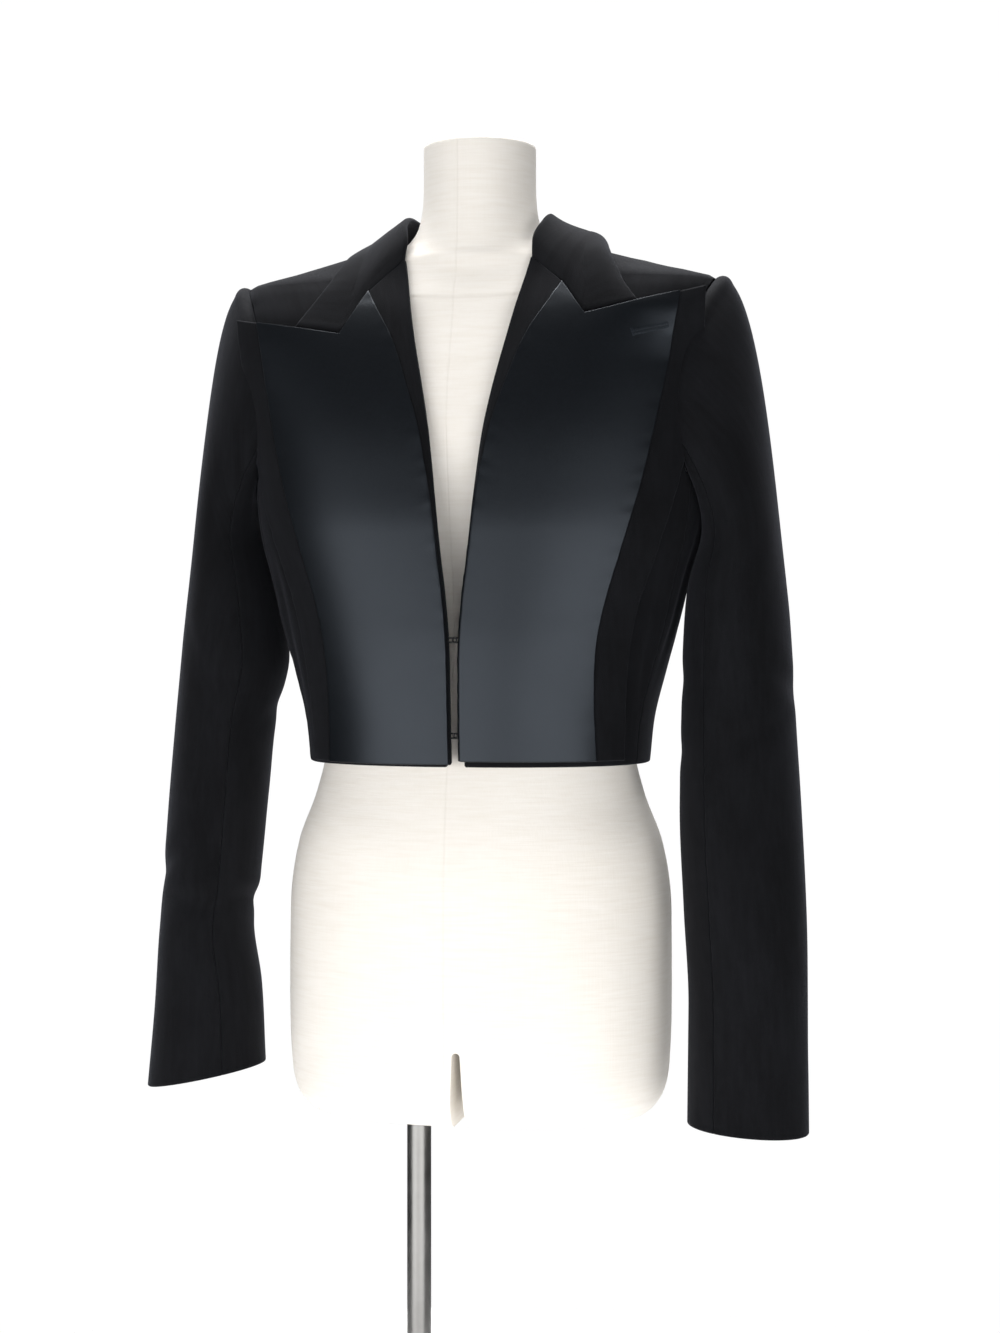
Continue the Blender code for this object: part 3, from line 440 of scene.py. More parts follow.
class JacketColours(bpy.types.PropertyGroup):
    """Colours of the cloth, the wire and the stand."""

    velvet: bpy.props.FloatVectorProperty(
        name="Velvet", description="Velvet looked at into its pile", subtype="COLOR",
        default=(0.0040, 0.0042, 0.0051))
    nap: bpy.props.FloatVectorProperty(
        name="Nap", description="Velvet where the pile is brushed over", subtype="COLOR",
        default=(0.0073, 0.0078, 0.0097))
    sheen: bpy.props.FloatVectorProperty(
        name="Sheen", description="Light caught by the tips of the pile", subtype="COLOR",
        default=(0.52, 0.54, 0.64))
    satin: bpy.props.FloatVectorProperty(
        name="Satin", description="Ground of the satin", subtype="COLOR", default=(0.0028, 0.0033, 0.0042))
    satin_light: bpy.props.FloatVectorProperty(
        name="Satin float", description="Raised threads of the satin", subtype="COLOR",
        default=(0.0046, 0.0055, 0.0071))
    thread: bpy.props.FloatVectorProperty(
        name="Thread", description="Buttonhole thread", subtype="COLOR", default=(0.011, 0.014, 0.019))
    cover: bpy.props.FloatVectorProperty(
        name="Cover", description="Linen cover of the dress form", subtype="COLOR",
        default=(0.900, 0.860, 0.802))
    cover_slub: bpy.props.FloatVectorProperty(
        name="Cover slub", description="Thicker threads of the linen", subtype="COLOR",
        default=(0.855, 0.806, 0.734))
    wire: bpy.props.FloatVectorProperty(
        name="Wire", description="Enamelled hook wire", subtype="COLOR", default=(0.010, 0.010, 0.011))
    steel: bpy.props.FloatVectorProperty(
        name="Steel", description="Chromed steel of the stand", subtype="COLOR", default=(0.20, 0.197, 0.19))


class SizeTable:
    """A table of sizes with named columns, read smoothly between its rows and without overshoot."""

    def __init__(self, columns, rows):
        order = np.argsort([row[0] for row in rows])
        values = np.array(rows, float)[order]
        self.keys = values[:, 0]
        self.columns = {name: values[:, k] for k, name in enumerate(columns)}

    def at(self, column, key):
        """The column's value at each key, by a monotone cubic."""
        xs, ys = self.keys, self.columns[column]
        steps = np.diff(xs)
        secants = np.diff(ys) / steps
        slopes = np.concatenate(([secants[0]], (secants[1:] + secants[:-1]) / 2, [secants[-1]]))
        turning = np.concatenate(([False], secants[1:] * secants[:-1] <= 0, [False]))
        slopes[turning] = 0.0
        steepest = np.abs(secants)
        limit = 3 * np.minimum(np.append(steepest, steepest[-1]), np.insert(steepest, 0, steepest[0]))
        slopes = np.clip(slopes, -limit, limit)
        key = np.clip(np.asarray(key, float), xs[0], xs[-1])
        k = np.clip(np.searchsorted(xs, key, side="right") - 1, 0, len(xs) - 2)
        t = (key - xs[k]) / steps[k]
        rise = t * t * (3 - 2 * t)
        return (ys[k] * (1 - rise) + ys[k + 1] * rise
                + steps[k] * t * (1 - t) * ((1 - t) * slopes[k] - t * slopes[k + 1]))


BODY = SizeTable(BODY_COLUMNS, BODY_ROWS)
LAPEL = SizeTable(LAPEL_COLUMNS, LAPEL_ROWS)


def smooth_step(low, high, value):
    """0 below low, 1 above high, and an even S between them."""
    t = np.clip((value - low) / (high - low), 0.0, 1.0)
    return t * t * (3 - 2 * t)


def unit(vectors):
    """Vectors of length 1."""
    return vectors / np.maximum(np.linalg.norm(vectors, axis=-1, keepdims=True), 1e-12)


def oval(half_width, front, back, fullness, angle):
    """x and y on a level oval; the angle runs from the front's middle round the wearer's left side."""
    power = 2.0 / fullness
    side, ahead = np.sin(angle), np.cos(angle)
    x = half_width * np.sign(side) * np.abs(side) ** power
    depth = np.where(ahead > 0, front, back)
    return x, -depth * np.sign(ahead) * np.abs(ahead) ** power


def body_face(angle, rise):
    """Points on the jacket body's outer face."""
    angle, rise = np.broadcast_arrays(np.asarray(angle, float), np.asarray(rise, float))
    sizes = [BODY.at(name, rise) for name in BODY_COLUMNS[1:]]
    x, y = oval(*sizes, angle)
    return np.stack([x, y, HEM + rise], axis=-1)


def body_normal(angle, rise):
    """Outward normals of the jacket body's face."""
    turn, lift = 0.02, 0.002
    around = body_face(angle + turn, rise) - body_face(angle - turn, rise)
    upward = body_face(angle, rise + lift) - body_face(angle, rise - lift)
    return unit(np.cross(around, upward))


def front_angle(x, rise):
    """The angle at which the body's front has this x."""
    share = np.clip(np.asarray(x) / BODY.at("half_width", rise), 0.0, WIDEST_SHARE)
    return np.arcsin(share ** (BODY.at("fullness", rise) / 2))


def grid_normals(points):
    """Normals of a sheet of points, rows by columns by 3."""
    return unit(np.cross(np.gradient(points, axis=1), np.gradient(points, axis=0)))


def mirrored(points):
    """The same sheet on the wearer's other side, with its columns turned so that it faces outwards."""
    return points[:, ::-1] * np.array((-1.0, 1.0, 1.0))


def arc(points, axis):
    """Length along a sheet from its first row (axis 0) or first column (axis 1)."""
    steps = np.linalg.norm(np.diff(points, axis=axis), axis=-1)
    start = np.zeros_like(np.take(steps, [0], axis=axis))
    return np.concatenate((start, np.cumsum(steps, axis=axis)), axis=axis)


def shares(count, length, first=True, last=True):
    """Shares from 0 to 1, evenly spaced but with extra ones close to the ends that are asked for."""
    near = np.array(NEAR_EDGE) / length
    parts = [np.linspace(0.0, 1.0, count)]
    if first:
        parts.append(near)
    if last:
        parts.append(1.0 - near)
    return np.unique(np.concatenate(parts))


def round_over(distance, radius):
    """How far a rounded edge has dropped at this distance from it."""
    short = 1.0 - np.clip(distance / radius, 0.0, 1.0)
    return radius * (1.0 - np.sqrt(1.0 - short * short))


def rolled(points, normals, **radii):
    """The sheet with its named edges (bottom, top, first, last) rounded over by these radii."""
    up, across = arc(points, 0), arc(points, 1)
    away = {"bottom": up, "top": up[-1:] - up, "first": across, "last": across[:, -1:] - across}
    drop = np.zeros(points.shape[:2])
    for edge, radius in radii.items():
        drop = np.maximum(drop, round_over(away[edge], radius))
    return points - normals * drop[..., None]


def turned(points, normals, down, radius, depth):
    """The sheet with its first row folded in: up the inside, round the fold, then the sheet itself."""
    turn = np.linspace(math.pi, 0.0, FOLD_LINES)[1:-1, None, None]
    fold = points[0] + down * radius * np.sin(turn) - normals[0] * radius * (1 - np.cos(turn))
    rows = int(np.searchsorted(arc(points, 0).mean(axis=1), depth)) + 1
    inside = (points - normals * 2 * radius)[:rows][::-1]
    return np.concatenate((inside, fold, points))


def creased(points, normals, rows):
    """The sheet with soft troughs, each with a low ridge on both its sides."""
    up, across = arc(points, 0), arc(points, 1)
    height = np.zeros(points.shape[:2])
    for beside, above, length, width, depth, lean in rows:
        along_x, along_z = math.cos(math.radians(lean)), math.sin(math.radians(lean))
        along = (across - beside) * along_x + (up - above) * along_z
        off = ((up - above) * along_x - (across - beside) * along_z) / width
        height -= depth * (1 - 0.9 * off ** 2) * np.exp(-off ** 2) * np.exp(-(2 * along / length) ** 4)
    return points + normals * height[..., None]


def ripple(along, seed):
    """An uneven wave of about unit size along a seam."""
    wave = 0.0
    for k, (length, weight) in enumerate(PUCKER_WAVES):
        wave = wave + weight * np.sin(2 * math.pi * along / length + seed * (1.7 + k))
    return wave


def puckered(points, normals, height, seed, first=True):
    """The sheet with small gathers along its last column and, unless left out, its first."""
    up, across = arc(points, 0), arc(points, 1)
    wave = ripple(up, seed)
    lift = wave * np.exp(-((across[:, -1:] - across) / PUCKER_REACH) ** 2)
    if first:
        lift = lift + wave * np.exp(-(across / PUCKER_REACH) ** 2)
    return points + normals * (height * lift)[..., None]


def sizes():
    """The scene's sewing sizes."""
    return bpy.context.scene.jacket_sizes


def colours():
    """The scene's colours."""
    return bpy.context.scene.jacket_colours


class Wire:
    """A shader socket that can stand in a Python expression."""

    def __init__(self, tree, socket):
        self.tree = tree
        self.socket = socket

    def maths(self, operation, first, second):
        """A Math node on two numbers or wires."""
        node = self.tree.nodes.new("ShaderNodeMath")
        node.operation = operation
        for place, value in zip(node.inputs, (first, second)):
            feed(self.tree, place, value)
        return Wire(self.tree, node.outputs[0])

    def __add__(self, other):
        return self.maths("ADD", self, other)

    def __radd__(self, other):
        return self.maths("ADD", other, self)

    def __sub__(self, other):
        return self.maths("SUBTRACT", self, other)

    def __rsub__(self, other):
        return self.maths("SUBTRACT", other, self)

    def __mul__(self, other):
        return self.maths("MULTIPLY", self, other)

    def __rmul__(self, other):
        return self.maths("MULTIPLY", other, self)

    def __truediv__(self, other):
        return self.maths("DIVIDE", self, other)

    def __rpow__(self, other):
        return self.maths("POWER", other, self)


def feed(tree, socket, value):
    """Links a wire to a socket, or sets the socket's own value."""
    if isinstance(value, Wire):
        tree.links.new(value.socket, socket)
    else:
        socket.default_value = value


class Finish:
    """A material and its nodes."""

    def __init__(self, name):
        self.material = bpy.data.materials.new(name)
        self.material.use_nodes = True
        self.tree = self.material.node_tree
        self.shader = self.tree.nodes["Principled BSDF"]

    def node(self, kind, settings, sockets, output=0):
        """A node of this kind: its settings are set first, then the values or links of its sockets."""
        made = self.tree.nodes.new(kind)
        for name, value in settings.items():
            setattr(made, name, value)
        for name, value in sockets.items():
            feed(self.tree, made.inputs[name], value)
        return Wire(self.tree, made.outputs[output])

    def place(self, kind, stretch=(1.0, 1.0, 1.0)):
        """UV or Object coordinates, stretched."""
        start = self.node("ShaderNodeTexCoord", {}, {}, kind)
        return self.node("ShaderNodeMapping", {}, {"Vector": start, "Scale": stretch})

    def noise(self, place, scale, detail=2.0, roughness=0.55):
        """Noise from 0 to 1."""
        return self.node("ShaderNodeTexNoise", {}, {
            "Vector": place, "Scale": scale, "Detail": detail, "Roughness": roughness}, "Fac")

    def ramp(self, value, low, high):
        """0 below low and 1 above high."""
        return self.node("ShaderNodeMapRange", {"clamp": True}, {
            "Value": value, "From Min": low, "From Max": high})

    def near_plane(self, plane, reach):
        """1 on a plane given by its normal and distance, falling to 0 within this reach."""
        normal, distance = plane
        place = self.node("ShaderNodeTexCoord", {}, {}, "Object")
        along = self.node(
            "ShaderNodeVectorMath", {"operation": "DOT_PRODUCT"}, {0: place, 1: normal}, "Value")
        off = (along - distance) / reach
        return BELL_BASE ** (off * off * -1.0)

    def blend(self, factor, first, second):
        """A mix of two colours."""
        return self.node("ShaderNodeMix", {"data_type": "RGBA"}, {
            0: factor, 6: as_colour(first), 7: as_colour(second)}, 2)

    def bump(self, height, strength, distance):
        """A bump from a height."""
        return self.node("ShaderNodeBump", {}, {
            "Height": height, "Strength": strength, "Distance": distance})

    def set(self, **values):
        """Values or links of the Principled shader's sockets, named with _ for a space."""
        for name, value in values.items():
            feed(self.tree, self.shader.inputs[name.replace("_", " ")], value)
        return self.material


def as_colour(value):
    """A colour with its alpha, or a wire as it is."""
    return value if isinstance(value, Wire) else (*value[:3], 1.0)


def velvet_finish():
    """Short black pile: dark when looked into, lighter where it is brushed over and at grazing angles."""
    known = bpy.data.materials.get("black_velvet")
    if known:
        return known
    look = Finish("black_velvet")
    cloth = look.place("UV")
    brushed = look.noise(look.place("UV", (1.0, 0.45, 1.0)), 16.0, 3.0)
    streaks = look.noise(look.place("UV", (1.0, 0.16, 1.0)), 210.0, 2.0)
    pile = look.noise(cloth, 1500.0, 2.0, 0.6)
    nap = look.ramp(brushed * 0.62 + streaks * 0.23 + pile * 0.15, 0.40, 0.66)
    tips = look.bump(pile * 0.7 + streaks * 0.3, 0.55, 0.0006)
    return look.set(
        Base_Color=look.blend(nap, colours().velvet, colours().nap),
        Roughness=0.94 - 0.10 * nap,
        Normal=tips,
        Specular_IOR_Level=0.12,
        Sheen_Weight=0.10,
        Sheen_Roughness=0.40,
        Sheen_Tint=as_colour(colours().sheen))


def satin_finish():
    """Black satin: fine lengthwise floats, a soft broad gloss and a faint grain."""
    known = bpy.data.materials.get("black_satin")
    if known:
        return known
    look = Finish("black_satin")
    floats = look.noise(look.place("UV", (1.0, 0.12, 1.0)), 1900.0, 2.0, 0.6)
    grain = look.noise(look.place("UV"), 520.0, 2.0, 0.6)
    cloudy = look.noise(look.place("UV"), 26.0, 2.0)
    threads = look.ramp(floats * 0.55 + grain * 0.45, 0.36, 0.64)
    weave = look.bump(floats * 0.5 + grain * 0.5, 0.16, 0.0004)
    return look.set(
        Base_Color=look.blend(threads, colours().satin, colours().satin_light),
        Roughness=0.315 + 0.05 * cloudy + 0.05 * threads,
        Normal=weave,
        Specular_IOR_Level=0.38,
        Specular_Tint=SATIN_TINT)


def thread_finish():
    """Twisted black silk thread."""
    look = Finish("buttonhole_thread")
    twist = look.noise(look.place("Object"), 2600.0, 2.0)
    return look.set(
        Base_Color=look.blend(twist, colours().satin, colours().thread),
        Roughness=0.42 + 0.16 * twist,
        Normal=look.bump(twist, 0.3, 0.0002),
        Specular_Tint=SATIN_TINT)


def linen_finish():
    """Plain linen: crossing threads, thicker slubs, a soft uneven tone and painted shade along its neck and
    front seams.
    """
    look = Finish("cream_linen")
    warp = look.noise(look.place("Object", (1.0, 1.0, 0.04)), 900.0, 2.0)
    weft = look.noise(look.place("Object", (0.04, 0.04, 1.0)), 900.0, 2.0)
    slubs = look.noise(look.place("Object", (0.08, 0.08, 1.0)), 420.0, 3.0)
    soft = look.noise(look.place("Object"), 9.0, 2.0)
    threads = warp * 0.5 + weft * 0.5
    tone = look.ramp(threads * 0.3 + slubs * 0.5 + soft * 0.2, 0.42, 0.66)
    # Painted shade: the base colour darkens towards SEAM_SHADE along the neck seam and, at half strength,
    # along the front seam; the bump sinks both seams as grooves.
    seam = look.near_plane(NECK_SEAM, 0.0012) + look.near_plane(FRONT_SEAM, 0.0007) * 0.5
    woven = look.blend(tone, colours().cover, colours().cover_slub)
    return look.set(
        Base_Color=look.blend(seam * 0.25, woven, SEAM_SHADE),
        Roughness=0.80 + 0.12 * threads,
        Normal=look.bump(threads * 0.6 + slubs * 0.4 - seam * 2.0, 0.28, 0.0008),
        Specular_IOR_Level=0.25,
        Sheen_Weight=0.12)


def wire_finish():
    """Black enamel on thin wire, worn a little brighter in places."""
    look = Finish("hook_enamel")
    worn = look.ramp(look.noise(look.place("Object"), 900.0, 3.0), 0.56, 0.70)
    return look.set(
        Base_Color=look.blend(worn, colours().wire, colours().steel),
        Metallic=0.35 + 0.6 * worn,
        Roughness=0.38 - 0.10 * worn)


def steel_finish():
    """Chromed steel with faint drawn lines and smudges."""
    known = bpy.data.materials.get("stand_chrome")
    if known:
        return known
    look = Finish("stand_chrome")
    drawn = look.noise(look.place("Object", (1.0, 1.0, 0.02)), 900.0, 2.0)
    smudge = look.ramp(look.noise(look.place("Object"), 34.0, 3.0), 0.35, 0.75)
    return look.set(
        Base_Color=look.blend(smudge, colours().steel, STEEL_SMUDGE),
        Metallic=1.0,
        Roughness=0.28 + 0.10 * smudge + 0.06 * drawn)


def alone(piece):
    """The piece as the only selected and the active one."""
    bpy.ops.object.select_all(action="DESELECT")
    piece.select_set(True)
    bpy.context.view_layer.objects.active = piece


def apply_modifier(piece, kind, **settings):
    """Adds a modifier with these settings and applies it."""
    alone(piece)
    bpy.ops.object.modifier_add(type=kind)
    modifier = piece.modifiers[-1]
    for name, value in settings.items():
        setattr(modifier, name, value)
    bpy.ops.object.modifier_apply(modifier=modifier.name)


def grid_object(name, points):
    """A sheet of points as a named grid whose UV map is in metres along the cloth."""
    rows, columns = points.shape[:2]
    bpy.ops.object.select_all(action="DESELECT")
    bpy.ops.mesh.primitive_grid_add(x_subdivisions=columns - 1, y_subdivisions=rows - 1, size=1.0)
    piece = bpy.context.object
    piece.name = name
    mesh = piece.data
    mesh.name = name
    if len(mesh.vertices) != rows * columns:
        raise RuntimeError(name + ": the grid has another number of points than its sheet")
    mesh.vertices.foreach_set("co", points.reshape(-1).astype(np.float32))
    corners = np.empty(len(mesh.loops), np.int32)
    mesh.loops.foreach_get("vertex_index", corners)
    flat = np.stack([arc(points, 1), arc(points, 0)], axis=-1).reshape(-1, 2)
    mesh.uv_layers.active.data.foreach_set("uv", flat[corners].reshape(-1).astype(np.float32))
    mesh.update()
    return piece


def dressed(piece, node, material):
    """Gives a piece its finish and its place on the frame, in the CAD node's stead."""
    piece.data.materials.clear()
    piece.data.materials.append(material)
    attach(piece, "root")
    if node:
        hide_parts(node)


def wires(name, paths, radius, resolution):
    """Round wire or thread along these paths, as one mesh."""
    curve = bpy.data.curves.new(name, "CURVE")
    curve.dimensions = "3D"
    curve.bevel_depth = radius
    curve.bevel_resolution = resolution
    curve.use_fill_caps = True
    for path in paths:
        spline = curve.splines.new("POLY")
        spline.points.add(len(path) - 1)
        for point, place in zip(spline.points, path):
            point.co = (*place, 1.0)
    piece = bpy.data.objects.new(name, curve)
    bpy.context.scene.collection.objects.link(piece)
    alone(piece)
    bpy.ops.object.convert(target="MESH")
    bpy.ops.object.shade_smooth()
    return bpy.context.object


def cloth(node, points, kind, held, rests_on):
    """One cut piece of velvet or satin: the sheet with its thickness, in place of its solid."""
    thickness = sizes().velvet if kind == "velvet" else sizes().satin
    piece = grid_object(node + "_cloth", points)
    apply_modifier(piece, "SOLIDIFY", thickness=thickness, offset=-1.0, use_quality_normals=True)
    alone(piece)
    bpy.ops.object.shade_smooth_by_angle(angle=math.radians(70))
    dressed(piece, node, velvet_finish() if kind == "velvet" else satin_finish())


def armhole(turn):
    """Angle round the body and rise of the armhole's edge at each turn."""
    sweep = ARMHOLE_SWEEP * np.sign(np.sin(turn)) * np.abs(np.sin(turn)) ** ARMHOLE_POWER
    middle = (SHOULDER_RISE + ARMHOLE_LOW) / 2
    return math.pi / 2 - sweep, middle + (SHOULDER_RISE - ARMHOLE_LOW) / 2 * np.cos(turn)


def panel_edge(side_turn, top_turn):
    """Rises of a front's or back's rows, and the angle of its side seam, armhole and shoulder at each."""
    angles, rises = armhole(np.linspace(side_turn, top_turn, ARMHOLE_LINES))
    low = shares(SEAM_LINES, float(rises[0]), last=False)[:-1] * rises[0]
    top = np.linspace(SHOULDER_RISE, NECK_RISE, SHOULDER_LINES)[1:]
    levels = np.concatenate((low, rises, top))
    below, above = np.full(len(low), angles[0]), np.full(len(top), math.pi / 2)
    return levels, np.concatenate((below, angles, above))


def front_sheet():
    """Angles and rises of the left front, from close beside its fold out to side seam and armhole."""
    levels, edge = panel_edge(FRONT_SIDE_TURN, 0.0)
    fold = LAPEL.at("fold", np.minimum(levels, GORGE_TOP[1])) + FRONT_SET_BACK
    inner = front_angle(fold, levels)
    share = shares(*FRONT_LINES)
    return inner[:, None] + (edge - inner)[:, None] * share, np.repeat(levels[:, None], len(share), axis=1)


def back_sheet():
    """Angles and rises of the whole back, from the left side seam round to the right."""
    levels, edge = panel_edge(BACK_SIDE_TURN, 2 * math.pi)
    share = shares(*BACK_LINES)
    angle = edge[:, None] + (2 * math.pi - 2 * edge)[:, None] * share
    rise = np.repeat(levels[:, None], len(share), axis=1)
    dip = BACK_NECK_DIP * np.sin(np.pi * share) * smooth_step(SHOULDER_RISE, NECK_RISE, levels)[:, None]
    return angle, rise - dip


def side_sheet():
    """Angles and rises of the left side panel, from the hem up to the armhole's underside."""
    share = shares(*SIDE_LINES)
    angles, rises = armhole(FRONT_SIDE_TURN + (BACK_SIDE_TURN - FRONT_SIDE_TURN) * share)
    up = shares(*SIDE_ROWS)[:, None]
    return np.repeat(angles[None, :], len(up), axis=0), up * rises[None, :]


class JACKET_OT_body(bpy.types.Operator):
    """Sew the velvet back, fronts and side panels"""

    bl_idname = "jacket.body"
    bl_label = "Back, fronts and sides"

    def execute(self, context):
        roll = sizes().seam_roll
        for name, (angle, rise) in (("back", back_sheet()), ("front", front_sheet()), ("side", side_sheet())):
            face, normals = body_face(angle, rise), body_normal(angle, rise)
            face = creased(face, normals, CREASES[name])
            face = puckered(face, normals, sizes().pucker, 0.0)
            face = rolled(face, normals, first=roll, last=roll, top=roll)
            down = unit(face[0] - face[1])
            face = turned(face, normals, down, sizes().edge_roll, sizes().hem_depth)
            if name == "back":
                cloth("back", face, "velvet", "draped", ["form_torso"])
                continue
            cloth(name + "_left", face, "velvet", "draped", ["form_torso"])
            cloth(name + "_right", mirrored(face), "velvet", "draped", ["form_torso"])
        return {"FINISHED"}


def lapel_face(side, x, rise, lift):
    """Points of the lapel at this lift off the front; high up it leaves the chest as a flat sheet."""
    angle = front_angle(x, rise)
    on_chest = body_face(angle, rise) + body_normal(angle, rise) * lift[..., None]
    hinge = LAPEL_HINGE_SHARE * LAPEL.at("outer", rise)
    hinge_angle = front_angle(hinge, rise)
    hinge_y = (body_face(hinge_angle, rise) + body_normal(hinge_angle, rise) * lift[..., None])[..., 1]
    flat = np.stack([x, hinge_y - LAPEL_SHEET_LIFT + LAPEL_SHEET_SLOPE * (x - hinge), HEM + rise], axis=-1)
    free = smooth_step(*LAPEL_FREE[side], rise) * smooth_step(*LAPEL_HINGE_SPREAD, x / hinge)
    flat[..., 1] = np.minimum(flat[..., 1], on_chest[..., 1])
    return on_chest + (flat - on_chest) * free[..., None]


def lapel_tops(side):
    """Top ends of the lapel's lines as x and rise: fold, gorge, its apex, notch, top edge, peak."""
    apex, notch, peak = (np.array(place) + (0.0, LAPEL_LIFTS[side] * share)
                         for place, share in zip((GORGE_APEX, NOTCH, PEAK), LAPEL_LIFT_SHARES))
    border_share = 1.0 - LAPEL.at("border", PEAK[1]) / (PEAK[0] - NOTCH[0])
    along = np.linspace(0.0, border_share, LAPEL_INNER_COLUMNS - 1)
    edge = [notch + (peak - notch) * share for share in along]
    return np.array([GORGE_TOP, (apex + GORGE_TOP) / 2, apex, *edge, peak])


def lapel_lines(side, share):
    """x and rise of the lapel's own lines, from the fold to the outer edge, at shares of their length."""
    tops = lapel_tops(side)
    share = np.append(share, 1.0)[:, None]
    hem = LAPEL_HEM_UP[side]
    rise = hem + share * (tops[:, 1][None, :] - hem)
    fold = LAPEL.at("fold", rise) + sizes().fold_roll * LAPEL_FOLD_FLAT
    outer = LAPEL.at("outer", rise)
    inner, border = fold + LAPEL.at("strip", rise), outer - LAPEL.at("border", rise)
    even = np.concatenate(([0.0, 0.0], np.linspace(0.0, 1.0, LAPEL_INNER_COLUMNS), [1.0]))
    x = inner + (border - inner) * even
    x[:, 0], x[:, 1], x[:, -1] = fold[:, 0], (fold[:, 1] + inner[:, 1]) / 2, outer[:, -1]
    x = x + (tops[:, 0] - x[-1]) * share ** 3
    return x[:-1], rise[:-1]


def between_lines(values, line):
    """Values at places between the lapel's lines, which are numbered from the fold."""
    low = np.clip(line.astype(int), 0, LAPEL_LINES - 2)
    part = line - low
    return np.take_along_axis(values, low, 1) * (1 - part) + np.take_along_axis(values, low + 1, 1) * part


def lapel_grid(side, share, line):
    """The lapel's face at shares of its length and at places between its lines."""
    x, rise = (between_lines(values, line) for values in lapel_lines(side, share))
    across = line / OUTER_LINE
    roll = LAPEL_ROLL * np.sin(math.pi * across) + LAPEL_EDGE_LIFT * across
    roll = roll + LAPEL_LOW_LIFT[side] * across ** 3 * (1 - smooth_step(*LAPEL_LOW, rise))
    if side == "left":
        height, middle_x, middle_rise, reach_x, reach_rise = BUTTONHOLE_LIFT
        roll = roll + height * np.exp(
            -((x - middle_x) / reach_x) ** 2 - ((rise - middle_rise) / reach_rise) ** 2)
    return lapel_face(side, x, rise, WALL + LAYER_GAP + roll)


def lapel_columns():
    """Places between the lapel's lines: closer beside the fold, on every line, and at the outer edge."""
    parts = [np.linspace(low, high, count, endpoint=False) for low, high, count in LAPEL_SPANS]
    border = BORDER_LINE + shares(*LAPEL_BORDER_LINES, first=False)
    return np.concatenate((*parts, border))


class JACKET_OT_lapels(bpy.types.Operator):
    """Fold back the velvet lapels and set their satin facings"""

    bl_idname = "jacket.lapels"
    bl_label = "Lapels and satin facings"

    def execute(self, context):
        edge = sizes().edge_roll
        share = shares(*LAPEL_LENGTH_LINES)
        for seed, side in enumerate(("left", "right")):
            line = np.repeat(lapel_columns()[None, :], len(share), axis=0)
            face = lapel_grid(side, share, line)
            normals = grid_normals(face)
            velvet = puckered(face, normals, sizes().pucker, seed + 0.5, first=False)
            top = np.where(line[:1] < STRIP_LINE + 1, SEWN_ROLL, edge)
            velvet = rolled(velvet, normals, bottom=edge, top=top, last=edge)
            velvet = self.folded(velvet, side, share)
            satin = self.facing(side, share, seed)
            if side == "right":
                velvet, satin = mirrored(velvet), mirrored(satin)
            front = "front_" + side + "_cloth"
            cloth("lapel_" + side, velvet, "velvet", "folded", [front])
            cloth("lapel_satin_" + side, satin, "satin", "laid", ["lapel_" + side + "_cloth"])
        return {"FINISHED"}

    def folded(self, face, side, share):
        """The velvet with its fold edge carried round to the inside of the front."""
        fold_x, fold_rise = (values[:, 0] for values in lapel_lines(side, share))
        angle = front_angle(fold_x, fold_rise)
        outward = body_normal(angle, fold_rise)
        inwards = unit(np.cross(outward, np.gradient(face[:, 0], axis=0)))
        sheet = face.swapaxes(0, 1)
        normals = np.repeat(outward[None], len(sheet), axis=0)
        sheet = turned(sheet, normals, inwards * LAPEL_FOLD_FLAT, sizes().fold_roll, LAPEL_TURN_IN)
        return sheet.swapaxes(0, 1)

    def facing(self, side, share, seed):
        """The satin, laid on the lapel inside its velvet border."""
        rise = LAPEL_HEM_UP[side] + share * (PEAK[1] - LAPEL_HEM_UP[side])
        start = STRIP_LINE - (STRIP_LINE - SATIN_FROM_LINE[side]) * (1 - smooth_step(*SATIN_NARROWS, rise))
        fine = shares(*SATIN_FINE_LINES, last=False)[:-1] * SATIN_FINE_SHARE
        wide = SATIN_FINE_SHARE + (1 - SATIN_FINE_SHARE) * shares(*SATIN_LINES, first=False)
        across = np.concatenate((fine, wide))
        line = start[:, None] + (BORDER_LINE - start)[:, None] * across
        face = lapel_grid(side, share, line)
        normals = grid_normals(face)
        face = face + normals * (LAYER_GAP + sizes().satin)
        face = puckered(face, normals, sizes().pucker * 0.5, seed + 4.1)
        roll = sizes().satin
        return rolled(face, normals, bottom=roll, top=roll / 6, first=roll / 3, last=roll)


def through(points, count):
    """Evenly spaced points on a smooth curve through a few given ones, leaving the first along x."""
    points = np.asarray(points, float)
    lengths = np.concatenate(([0.0], np.cumsum(np.linalg.norm(np.diff(points, axis=0), axis=1))))
    slopes = np.gradient(points, lengths, axis=0)
    slopes[0] = (1.0, 0.0, 0.0)
    at = np.linspace(0.0, lengths[-1], count)
    k = np.clip(np.searchsorted(lengths, at, side="right") - 1, 0, len(lengths) - 2)
    step = np.diff(lengths)[k][:, None]
    t = (at - lengths[k])[:, None] / step
    rise = t * t * (3 - 2 * t)
    bend = t * (1 - t) * step * ((1 - t) * slopes[k] - t * slopes[k + 1])
    return points[k] * (1 - rise) + points[k + 1] * rise + bend


def body_below(x, y):
    """Angle and rise of the body's face straight above or below a place in plan, on its shoulders."""
    low, high = np.full(np.shape(x), SHOULDER_SEARCH_FROM), np.full(np.shape(x), NECK_RISE)
    for _ in range(SHOULDER_SEARCH_STEPS):
        middle = (low + high) / 2
        depth = np.where(y < 0, BODY.at("front", middle), BODY.at("back", middle))
        power = BODY.at("fullness", middle)
        inside = (np.abs(x) / BODY.at("half_width", middle)) ** power + (np.abs(y) / depth) ** power < 1
        low, high = np.where(inside, middle, low), np.where(inside, high, middle)
    share = np.clip(np.abs(x) / BODY.at("half_width", low), 0.0, 1.0)
    angle = np.arcsin(share ** (BODY.at("fullness", low) / 2))
    return np.where(y < 0, angle, math.pi - angle), low


